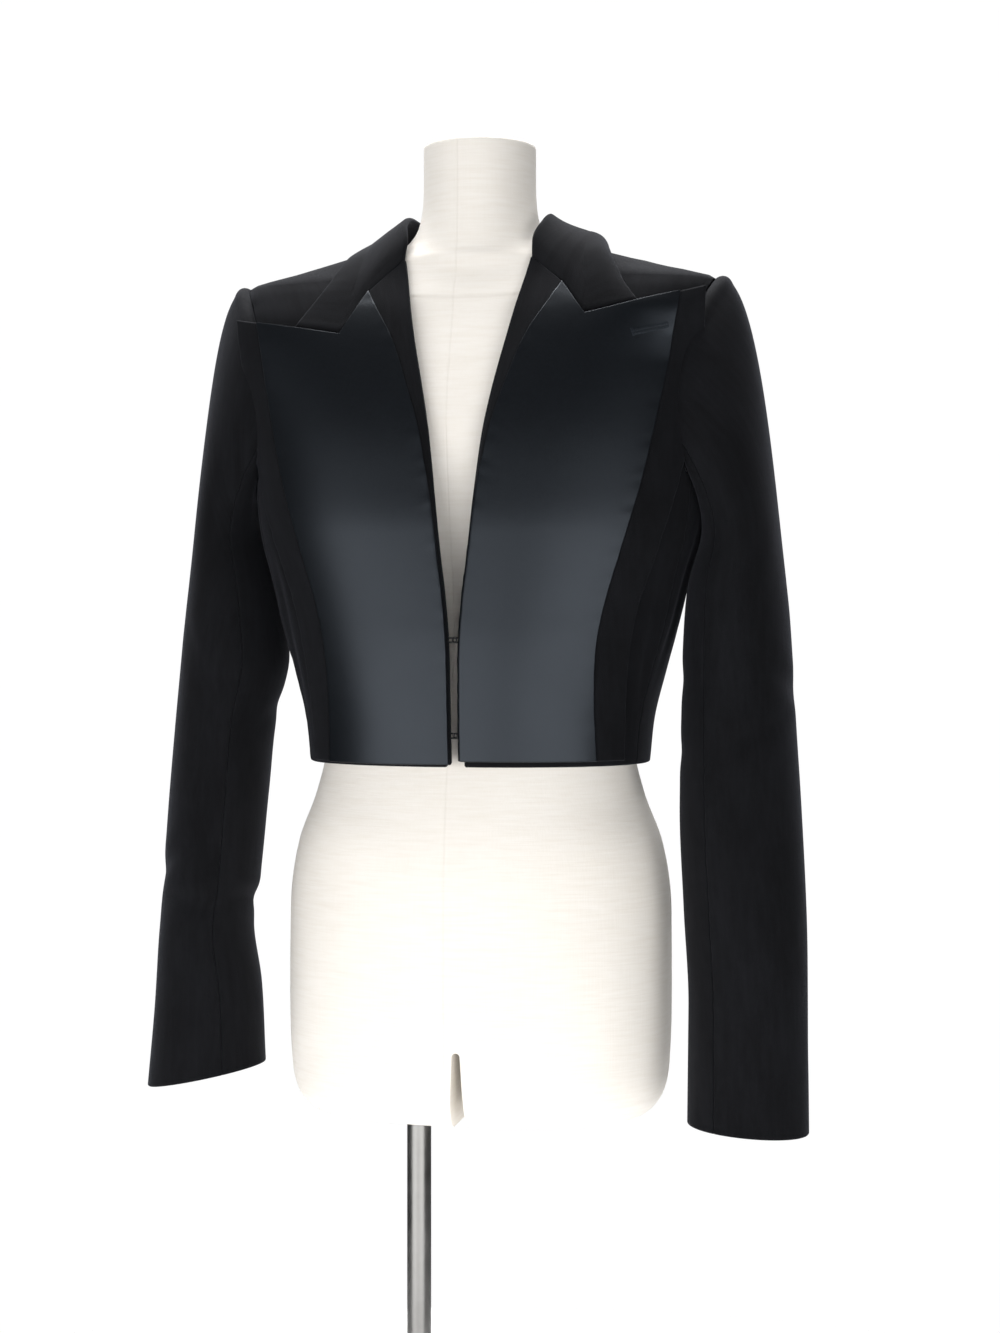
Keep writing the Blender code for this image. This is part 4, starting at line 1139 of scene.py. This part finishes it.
def rested(points, clearance):
    """The points moved out where needed, to stand at least this clear of the body's shoulders."""
    angle, rise = body_below(points[..., 0], points[..., 1])
    normal = body_normal(angle, rise)
    distance = (points[..., 2] - HEM - rise) * normal[..., 2]
    short = np.where(rise < NECK_RISE - NECK_MARGIN, np.maximum(clearance - distance, 0.0), 0.0)
    return points + normal * short[..., None]


def collar_lines(side):
    """Roll, outer edge, gorge apex and notch of one half collar, from the middle back to the front."""
    lapel_lift = np.full(1, WALL + LAYER_GAP)
    tops = lapel_tops(side)

    def beside_lapel(x, rise):
        return lapel_face(side, np.array([x]), np.array([rise]), lapel_lift)[0] + COLLAR_BESIDE_LAPEL

    gorge, apex, notch = (beside_lapel(*tops[k]) for k in (0, 2, 3))
    point = beside_lapel(*(tops[3] + (tops[-1] - tops[3]) * COLLAR_POINT_SHARE))
    plan = np.array(EDGE_ROWS[side])
    angle, rise = body_below(plan[:, 0], plan[:, 1])
    edge = body_face(angle, rise) + body_normal(angle, rise) * COLLAR_REST
    return np.vstack((ROLL_ROWS, gorge)), np.vstack((edge, point)), apex, notch


def collar_half(side, count):
    """The fall's sheet, columns from the middle back to the front, and which rows end at the gorge."""
    roll_points, edge_points, apex, notch = collar_lines(side)
    roll, edge = through(roll_points, count), through(edge_points, count)
    sewn, free = np.linalg.norm(notch - roll[-1]), np.linalg.norm(edge[-1] - notch)
    corner = sewn / (sewn + free)
    s = np.linspace(0.0, 1.0, count)
    near_end = s ** COLLAR_END_POWER
    width = np.linalg.norm(edge - roll, axis=1) * (1 - near_end) + (sewn + free) * near_end
    start = sizes().fold_roll / width
    rows = np.unique(np.concatenate((shares(*COLLAR_ROWS), (corner / 2, corner))))
    t = start + (1 - start) * rows[:, None]
    end = np.array((roll[-1], apex, notch, edge[-1]))
    at = (0.0, corner / 2, corner, 1.0)
    front = np.stack([np.interp(t[:, -1], at, end[:, k]) for k in range(3)], axis=-1)
    straight = roll[-1] + (edge[-1] - roll[-1]) * t[:, -1:]
    sheet = roll + (edge - roll) * t[..., None] + (front - straight)[:, None] * near_end[:, None]
    behind = sum(COLLAR_SWELL.values()) / len(COLLAR_SWELL)
    height = behind + (COLLAR_SWELL[side] - behind) * smooth_step(*COLLAR_SWELL_PARTS, s)
    swell = height / COLLAR_SWELL_PEAK * t ** 3 * (1 - t) * (1 - s ** 4)
    sheet = sheet + swell[..., None] * grid_normals(sheet)
    kept = sheet[:, -1].copy()
    sheet = rested(sheet, COLLAR_REST)
    sheet[:, -1] = kept
    return sheet, t[:, -1] < corner


class JACKET_OT_collar(bpy.types.Operator):
    """Set the velvet collar and its stand"""

    bl_idname = "jacket.collar"
    bl_label = "Collar"

    def execute(self, context):
        (left, sewn), (right, _) = (collar_half(side, COLLAR_LINES) for side in ("left", "right"))
        fall = np.concatenate((mirrored(right), left[:, 1:]), axis=1)
        normals = grid_normals(fall)
        roll_line = fall[0].copy()
        edge = sizes().edge_roll
        ends = np.where(sewn, SEWN_ROLL, edge)[:, None]
        fall = rolled(fall, normals, top=edge, first=ends, last=ends)
        upward = unit(np.cross(np.gradient(fall[0], axis=0), normals[0]))
        fall = turned(fall, normals, upward, sizes().fold_roll, COLLAR_TURN_IN)
        cloth("collar_fall", fall, "velvet", "folded", ["back_cloth"])
        self.stand(roll_line)
        return {"FINISHED"}

    def stand(self, roll_line):
        """The stand inside the fall, from the neck seam up to just below the roll."""
        roll = roll_line[roll_line[:, 2] > STAND_LOWEST] - (0.0, 0.0, STAND_DROP)
        lean = unit(roll * (1.0, 1.0, 0.0)) * WALL
        angle = np.arctan2(roll[:, 0], -roll[:, 1])
        seam = body_face(angle, np.full(len(angle), NECK_RISE)) + (0.0, 0.0, SEAM_GAP)
        seam[:, 2] -= BACK_NECK_DIP * np.maximum(-np.cos(angle), 0.0)
        share = np.linspace(0.0, 1.0, STAND_ROWS)[:, None, None]
        stand = seam[None] + (roll - lean - seam)[None] * share
        cloth("collar_stand", stand, "velvet", "stretched", ["back_cloth"])


def sleeve_sheet(side, turn):
    """A sleeve's face on the +X side at these turns, rows from the cuff up to the armhole."""
    rows = SLEEVE_ROWS[side]
    table = SizeTable(SLEEVE_COLUMNS, rows)
    across, ahead = np.cos(turn), np.sin(turn)
    top, cuff = rows[0][0], rows[-1][0]
    heights = top + (cuff - top) * shares(SLEEVE_LENGTH_LINES, top - cuff, first=False)
    rings = []
    for height in heights:
        out, into = table.at("out", height), table.at("into", height)
        x = (out + into) / 2 + (out - into) / 2 * across
        y = table.at("middle", height) - table.at("half_depth", height) * ahead
        slant = CUFF_SLANTS[side] * across * smooth_step(top, cuff, height)
        rings.append(np.stack([x, y, height - slant], axis=-1))
    angles, rises = armhole(turn)
    start = body_face(angles, rises) + (SEAM_GAP, 0.0, 0.0)
    top_share = (1 + across) / 2
    out = CAP_OUT[1] + (CAP_OUT[0] - CAP_OUT[1]) * top_share
    spread = CAP_SPREAD[1] + (CAP_SPREAD[0] - CAP_SPREAD[1]) * top_share
    leaving = unit(np.stack([out, -ahead * spread, across * spread], axis=-1))
    arriving = unit(rings[1] - rings[0])
    chord = np.linalg.norm(rings[0] - start, axis=1, keepdims=True)
    cap = []
    for t in shares(*CAP_LINES, last=False)[:-1]:
        rise = t * t * (3 - 2 * t)
        bend = t * (1 - t) * chord * ((1 - t) * leaving * CAP_FULLNESS - t * arriving * CAP_HANG)
        cap.append(start * (1 - rise) + rings[0] * rise + bend)
    return np.array(cap + rings)[::-1]


class JACKET_OT_sleeves(bpy.types.Operator):
    """Set in the two-piece sleeves with their roped heads"""

    bl_idname = "jacket.sleeves"
    bl_label = "Sleeves"

    def execute(self, context):
        roll = sizes().seam_roll
        outside = SLEEVE_SEAM_TURN - 2 * SLEEVE_SEAM_TURN * shares(*SLEEVE_UPPER_LINES)
        inside_sweep = 2 * math.pi - 2 * SLEEVE_SEAM_TURN
        inside = 2 * math.pi - SLEEVE_SEAM_TURN - inside_sweep * shares(*SLEEVE_UNDER_LINES)
        for seed, side in enumerate(("left", "right")):
            for part, turn in (("upper", outside), ("under", inside)):
                name = "sleeve_" + part + "_" + side
                face = sleeve_sheet(side, turn)
                normals = grid_normals(face)
                face = creased(face, normals, CREASES[name])
                face = puckered(face, normals, sizes().pucker, seed + 1.3)
                face = face + normals * self.rope(face, turn)[..., None]
                face = rolled(face, normals, top=roll, first=roll, last=roll)
                down = unit(face[0] - face[1])
                face = turned(face, normals, down, sizes().edge_roll, sizes().hem_depth)
                allowance = face[-1] - normals[-1] * ALLOWANCE_INSET - (SLEEVE_ALLOWANCE, 0.0, 0.0)
                face = np.concatenate((face, allowance[None]))
                if side == "right":
                    face = mirrored(face)
                cloth(name, face, "velvet", "hung", ["front_" + side + "_cloth", "back_cloth"])
        return {"FINISHED"}

    def rope(self, face, turn):
        """Height of the ridge along the top of the sleeve head."""
        up = arc(face, 0)
        share = np.clip((up[-1:] - up) / ROPE_REACH, 0.0, 1.0)
        around_top = smooth_step(*ROPE_ROUND_TOP, np.cos(turn))[None, :]
        return sizes().rope * np.sin(math.pi * share) ** ROPE_POWER * around_top


class JACKET_OT_buttonhole(bpy.types.Operator):
    """Stitch the buttonhole on the left lapel"""

    bl_idname = "jacket.buttonhole"
    bl_label = "Buttonhole"

    def execute(self, context):
        start = np.array(BUTTONHOLE_START)
        lean = math.radians(BUTTONHOLE_LEAN)
        along = np.array((math.cos(lean), math.sin(lean)))
        across = np.array((-along[1], along[0]))
        face, normals = self.satin_face()
        threads = []
        for k in range(STITCHES):
            for row in (-1, 1):
                middle = start + along * sizes().buttonhole * (k + 0.5 + STITCH_OFFSET * row) / STITCHES
                ends = [middle + across * row * reach for reach in STITCH_REACHES]
                threads.append(self.laid(ends, STITCH_HEIGHTS, face, normals))
        for k in range(BAR_THREADS):
            corner = start - along * BAR_STEP * k
            ends = [corner + across * reach for reach in BAR_REACHES]
            threads.append(self.laid(ends, BAR_HEIGHTS, face, normals))
        piece = wires("buttonhole_stitches", threads, THREAD_RADIUS, 1)
        dressed(piece, None, thread_finish())
        return {"FINISHED"}

    def satin_face(self):
        """Points and normals of the satin's upper part, close together."""
        count = BUTTONHOLE_SEARCH_LINES
        line = np.repeat(np.linspace(BUTTONHOLE_FROM_LINE, BORDER_LINE, count)[None, :], count, axis=0)
        face = lapel_grid("left", np.linspace(BUTTONHOLE_FROM_SHARE, 1.0, count), line)
        normals = grid_normals(face)
        face = face + normals * (LAYER_GAP + sizes().satin)
        return face.reshape(-1, 3), normals.reshape(-1, 3)

    def laid(self, ends, heights, face, normals):
        """A thread through these places on the satin, as x and rise, raised by these heights."""
        out = []
        for (x, rise), height in zip(ends, heights):
            near = np.argmin((face[:, 0] - x) ** 2 + (face[:, 2] - HEM - rise) ** 2)
            out.append(face[near] + normals[near] * height)
        return out


class JACKET_OT_hooks(bpy.types.Operator):
    """Bend the two wire hooks and their eyes"""

    bl_idname = "jacket.hooks"
    bl_label = "Hooks and eyes"

    def execute(self, context):
        material = wire_finish()
        for level, rise in HOOK_RISES.items():
            sewn_y = WALL - float(BODY.at("front", rise)) + HOOK_WIRE + 3 * LAYER_GAP
            behind_y = sewn_y + 2 * HOOK_WIRE + LAYER_GAP
            self.wire("hook_" + level, HEM + rise, sewn_y, sewn_y, -1, material)
            self.wire("eye_" + level, HEM + rise, sewn_y, behind_y, 1, material)
        return {"FINISHED"}

    def wire(self, node, height, sewn_y, caught_y, side, material):
        """A U of wire with a small sewing ring at each end."""
        half, ring = HOOK_HALF_HEIGHT, HOOK_RING
        bend = [(HOOK_TIP + half * (math.cos(turn) - 1), half * math.sin(turn), caught_y)
                for turn in np.linspace(math.pi / 2, -math.pi / 2, 15)]
        rings = [(-HOOK_REACH + ring * math.sin(turn), half + ring * (1 - math.cos(turn)), sewn_y)
                 for turn in np.linspace(-HOOK_RING_TURN, 0.0, 18)]
        legs = [(-HOOK_STRAIGHT - HOOK_SLOPE, half, (sewn_y + caught_y) / 2),
                (-HOOK_STRAIGHT, half, caught_y)]
        upper = rings + legs
        path = upper + bend + [(x, -z, y) for x, z, y in upper[::-1]]
        placed = [(side * -x, y, height + z) for x, z, y in path]
        dressed(wires(node + "_wire", [placed], HOOK_WIRE, 4), node, material)


def form_controls(turn):
    """The dress form's construction rings: hips to chest, shoulders just inside the jacket, neck."""
    rings = []
    for rows in (FORM_ROWS, FORM_NECK_ROWS):
        for height, *measures in rows:
            x, y = oval(*measures, turn)
            rings.append(np.stack([x, y, np.full_like(x, height)], axis=-1))
        if rows is FORM_ROWS:
            for rise in FORM_SHOULDER_RISES:
                level = np.full_like(turn, rise)
                inset = body_normal(turn, level) * (WALL + FORM_SHOULDER_INSET)
                rings.append(body_face(turn, level) - inset)
    return np.array(rings)


class JACKET_OT_form(bpy.types.Operator):
    """Cover the dress form with linen"""

    bl_idname = "jacket.form"
    bl_label = "Dress form"

    def execute(self, context):
        turn = self.turns()
        controls = form_controls(turn)
        steps = np.linalg.norm(np.diff(controls, axis=0), axis=-1).mean(axis=1)
        keys = np.concatenate(([0.0], np.cumsum(steps)))
        at = np.unique(np.concatenate((np.linspace(0.0, keys[-1], FORM_RINGS), keys)))
        rings = np.empty((len(at), len(turn), 3))
        for column in range(len(turn)):
            rows = np.column_stack((keys, controls[:, column]))
            table = SizeTable(("key", "x", "y", "z"), rows)
            rings[:, column] = np.stack([table.at(name, at) for name in "xyz"], axis=-1)
        rings = self.seamed(rings, turn)
        below, above = self.cap(rings[0], FORM_CAP_SHARES), self.cap(rings[-1], FORM_CAP_SHARES[::-1])
        piece = grid_object("form_cover_cloth", np.concatenate((below, rings, above)))
        alone(piece)
        bpy.ops.object.mode_set(mode="EDIT")
        bpy.ops.mesh.select_all(action="SELECT")
        bpy.ops.mesh.remove_doubles(threshold=0.00001)
        bpy.ops.mesh.normals_make_consistent(inside=False)
        bpy.ops.object.mode_set(mode="OBJECT")
        self.split_legs(piece)
        alone(piece)
        bpy.ops.object.shade_smooth_by_angle(angle=math.radians(50))
        dressed(piece, "form_torso", linen_finish())
        return {"FINISHED"}

    def turns(self):
        """Turns round the form from the back's middle, closer together beside its side seams."""
        even = np.linspace(-math.pi, math.pi, FORM_TURNS)
        beside = np.array(FORM_SEAM_TURNS)
        extra = [seam + sign * beside for seam in FORM_SIDE_SEAMS for sign in (-1, 1)]
        return np.unique(np.concatenate((even, *extra)))

    def seamed(self, rings, turn):
        """The cover drawn in along its side seams."""
        inward = unit(np.stack([-rings[..., 0], -rings[..., 1], np.zeros(rings.shape[:2])], axis=-1))
        depth = np.zeros(len(turn))
        for seam in FORM_SIDE_SEAMS:
            depth += FORM_SEAM_DEPTH * np.exp(-((turn - seam) / FORM_SEAM_SPREAD) ** 2)
        return rings + inward * depth[None, :, None]

    def cap(self, ring, shrink):
        """Rings that close an end towards its middle."""
        middle = np.array((0.0, ring[:, 1].mean(), ring[:, 2].mean()))
        return np.array([middle + (ring - middle) * share for share in shrink])

    def split_legs(self, piece):
        """Cuts the narrow wedge between the two short leg stubs."""
        bpy.ops.object.select_all(action="DESELECT")
        middle = FORM_BOTTOM + LEG_SPLIT_HEIGHT / 2 - LEG_SPLIT_BELOW / 2
        bpy.ops.mesh.primitive_cube_add(size=1.0, location=(0.0, 0.0, middle))
        cutter = bpy.context.object
        cutter.scale = (2 * LEG_SPLIT_HALF_WIDTH, 2 * LEG_SPLIT_REACH, LEG_SPLIT_HEIGHT + LEG_SPLIT_BELOW)
        bpy.ops.object.transform_apply(location=True, rotation=False, scale=True)
        top = FORM_BOTTOM + LEG_SPLIT_HEIGHT - 0.001
        for corner in cutter.data.vertices:
            if corner.co.z > top:
                corner.co.x *= LEG_SPLIT_TOP_SHARE
        for edge in cutter.data.edges:
            ends = [cutter.data.vertices[k].co for k in edge.vertices]
            along_y = abs(ends[0].y - ends[1].y) > LEG_SPLIT_REACH
            edge.select = along_y and min(end.z for end in ends) > top
        bpy.ops.object.mode_set(mode="EDIT")
        bpy.ops.mesh.select_mode(type="EDGE")
        bpy.ops.mesh.bevel(offset=LEG_SPLIT_HALF_WIDTH * LEG_SPLIT_ROUND_SHARE, segments=6)
        bpy.ops.object.mode_set(mode="OBJECT")
        apply_modifier(piece, "BOOLEAN", operation="DIFFERENCE", object=cutter, solver="EXACT")
        bpy.data.objects.remove(cutter)


class JACKET_OT_stand(bpy.types.Operator):
    """Make the pole, its foot and the base plate"""

    bl_idname = "jacket.stand"
    bl_label = "Stand"

    def execute(self, context):
        for node, *measures in STAND_PARTS:
            piece = self.turned_piece(node + "_steel", *measures)
            dressed(piece, node, steel_finish())
        return {"FINISHED"}

    def turned_piece(self, name, low, high, bevel, inset):
        """A turned steel piece: a cylinder with an inset top and rounded rims."""
        radius = (high.x - low.x) / 2
        middle = (low + high) / 2
        bpy.ops.object.select_all(action="DESELECT")
        bpy.ops.mesh.primitive_cylinder_add(
            vertices=ROUND_SIDES, radius=radius, depth=high.z - low.z, location=tuple(middle))
        piece = bpy.context.object
        piece.name = piece.data.name = name
        bpy.ops.object.transform_apply(location=True, rotation=True, scale=True)
        for edge in piece.data.edges:
            ends = [piece.data.vertices[k].co for k in edge.vertices]
            edge.select = abs(ends[0].z - ends[1].z) < 1e-6
        bpy.ops.object.mode_set(mode="EDIT")
        bpy.ops.mesh.select_mode(type="EDGE")
        bpy.ops.mesh.bevel(offset=bevel, segments=4)
        bpy.ops.object.mode_set(mode="OBJECT")
        self.select_top(piece, high.z)
        bpy.ops.object.mode_set(mode="EDIT")
        bpy.ops.mesh.inset(thickness=inset)
        bpy.ops.object.mode_set(mode="OBJECT")
        alone(piece)
        bpy.ops.object.shade_smooth_by_angle(angle=math.radians(35))
        return piece

    def select_top(self, piece, height):
        """Selects the piece's top face alone."""
        bpy.ops.object.mode_set(mode="EDIT")
        bpy.ops.mesh.select_mode(type="FACE")
        bpy.ops.mesh.select_all(action="DESELECT")
        bpy.ops.object.mode_set(mode="OBJECT")
        for face in piece.data.polygons:
            level = face.normal.z > 0.99 and abs(face.center.z - height) < 1e-5
            face.select = level and len(face.vertices) > 8


class JACKET_OT_stage(bpy.types.Operator):
    """Set up the floor, the backdrop, the soft lights and the camera"""

    bl_idname = "jacket.stage"
    bl_label = "Stage, lights and camera"

    def execute(self, context):
        scene = context.scene
        scene.view_settings.view_transform = "Standard"
        self.floor()
        self.backdrop()
        for name, row in LIGHTS.items():
            self.light(name, *row)
        world = bpy.data.worlds.new("studio")
        world.use_nodes = True
        world.node_tree.nodes["Background"].inputs["Color"].default_value = WORLD_COLOUR
        scene.world = world
        self.camera(scene)
        return {"FINISHED"}

    def floor(self):
        """A round pale floor under the stand."""
        bpy.ops.object.select_all(action="DESELECT")
        bpy.ops.mesh.primitive_circle_add(
            vertices=ROUND_SIDES, radius=FLOOR_RADIUS, fill_type="NGON", location=(0.0, 0.0, -FLOOR_DROP))
        floor = bpy.context.object
        floor.name = "floor"
        look = Finish("pale_floor")
        grain = look.noise(look.place("Object"), 60.0, 2.0)
        floor.data.materials.append(look.set(
            Base_Color=look.blend(grain, *FLOOR_COLOURS),
            Roughness=0.55 + 0.1 * grain))

    def backdrop(self):
        """A plain white surround that only the camera sees, so that it adds no light."""
        bpy.ops.object.select_all(action="DESELECT")
        bpy.ops.mesh.primitive_uv_sphere_add(segments=48, ring_count=24, radius=SKY_RADIUS)
        surround = bpy.context.object
        surround.name = "backdrop"
        look = Finish("white_backdrop")
        surround.data.materials.append(look.set(
            Base_Color=(0.0, 0.0, 0.0, 1.0), Emission_Color=(1.0, 1.0, 1.0, 1.0), Emission_Strength=1.0))
        for sight in ("visible_diffuse", "visible_glossy", "visible_transmission", "visible_shadow"):
            setattr(surround, sight, False)

    def light(self, name, place, target, width, height, watts):
        """One large soft light."""
        lamp = bpy.data.lights.new(name, "AREA")
        lamp.shape = "RECTANGLE"
        lamp.size, lamp.size_y = width, height
        lamp.energy = watts
        lit = bpy.data.objects.new(name, lamp)
        bpy.context.scene.collection.objects.link(lit)
        lit.location = place
        lit.rotation_euler = (Vector(target) - Vector(place)).to_track_quat("-Z", "Y").to_euler()
        lit.visible_camera = False

    def camera(self, scene):
        """The camera at the photograph's angle."""
        lens = bpy.data.cameras.new("camera")
        lens.sensor_width = SENSOR
        lens.lens = CAMERA_FOCUS * SENSOR / PHOTO_LONG_SIDE
        lens.shift_x, lens.shift_y = (shift / PHOTO_LONG_SIDE for shift in CAMERA_SHIFT)
        camera = bpy.data.objects.new("camera", lens)
        scene.collection.objects.link(camera)
        aside, ahead = math.sin(CAMERA_AZIMUTH), math.cos(CAMERA_AZIMUTH)
        camera.location = (CAMERA_DISTANCE * aside, -CAMERA_DISTANCE * ahead, CAMERA_HEIGHT)
        camera.rotation_euler = (math.pi / 2, 0.0, CAMERA_AZIMUTH)
        scene.camera = camera


STEPS = (
    JACKET_OT_stage,
    JACKET_OT_body,
    JACKET_OT_lapels,
    JACKET_OT_collar,
    JACKET_OT_sleeves,
    JACKET_OT_buttonhole,
    JACKET_OT_hooks,
    JACKET_OT_form,
    JACKET_OT_stand,
)


class JACKET_PT_panel(bpy.types.Panel):
    """The jacket's sizes, colours and steps"""

    bl_idname = "JACKET_PT_panel"
    bl_label = "Cropped jacket"
    bl_space_type = "VIEW_3D"
    bl_region_type = "UI"
    bl_category = "Jacket"

    def draw(self, context):
        for step in STEPS:
            self.layout.operator(step.bl_idname)
        for group in (context.scene.jacket_sizes, context.scene.jacket_colours):
            column = self.layout.column()
            for name in group.__annotations__:
                column.prop(group, name)


CLASSES = (JacketSizes, JacketColours, *STEPS, JACKET_PT_panel)


def register():
    for kind in CLASSES:
        bpy.utils.register_class(kind)
    bpy.types.Scene.jacket_sizes = bpy.props.PointerProperty(type=JacketSizes)
    bpy.types.Scene.jacket_colours = bpy.props.PointerProperty(type=JacketColours)


def unregister():
    del bpy.types.Scene.jacket_colours
    del bpy.types.Scene.jacket_sizes
    for kind in reversed(CLASSES):
        bpy.utils.unregister_class(kind)


def main():
    register()
    bpy.ops.jacket.stage()
    bpy.ops.jacket.body()
    bpy.ops.jacket.lapels()
    bpy.ops.jacket.collar()
    bpy.ops.jacket.sleeves()
    bpy.ops.jacket.buttonhole()
    bpy.ops.jacket.hooks()
    bpy.ops.jacket.form()
    bpy.ops.jacket.stand()


if __name__ == "__main__":
    main()
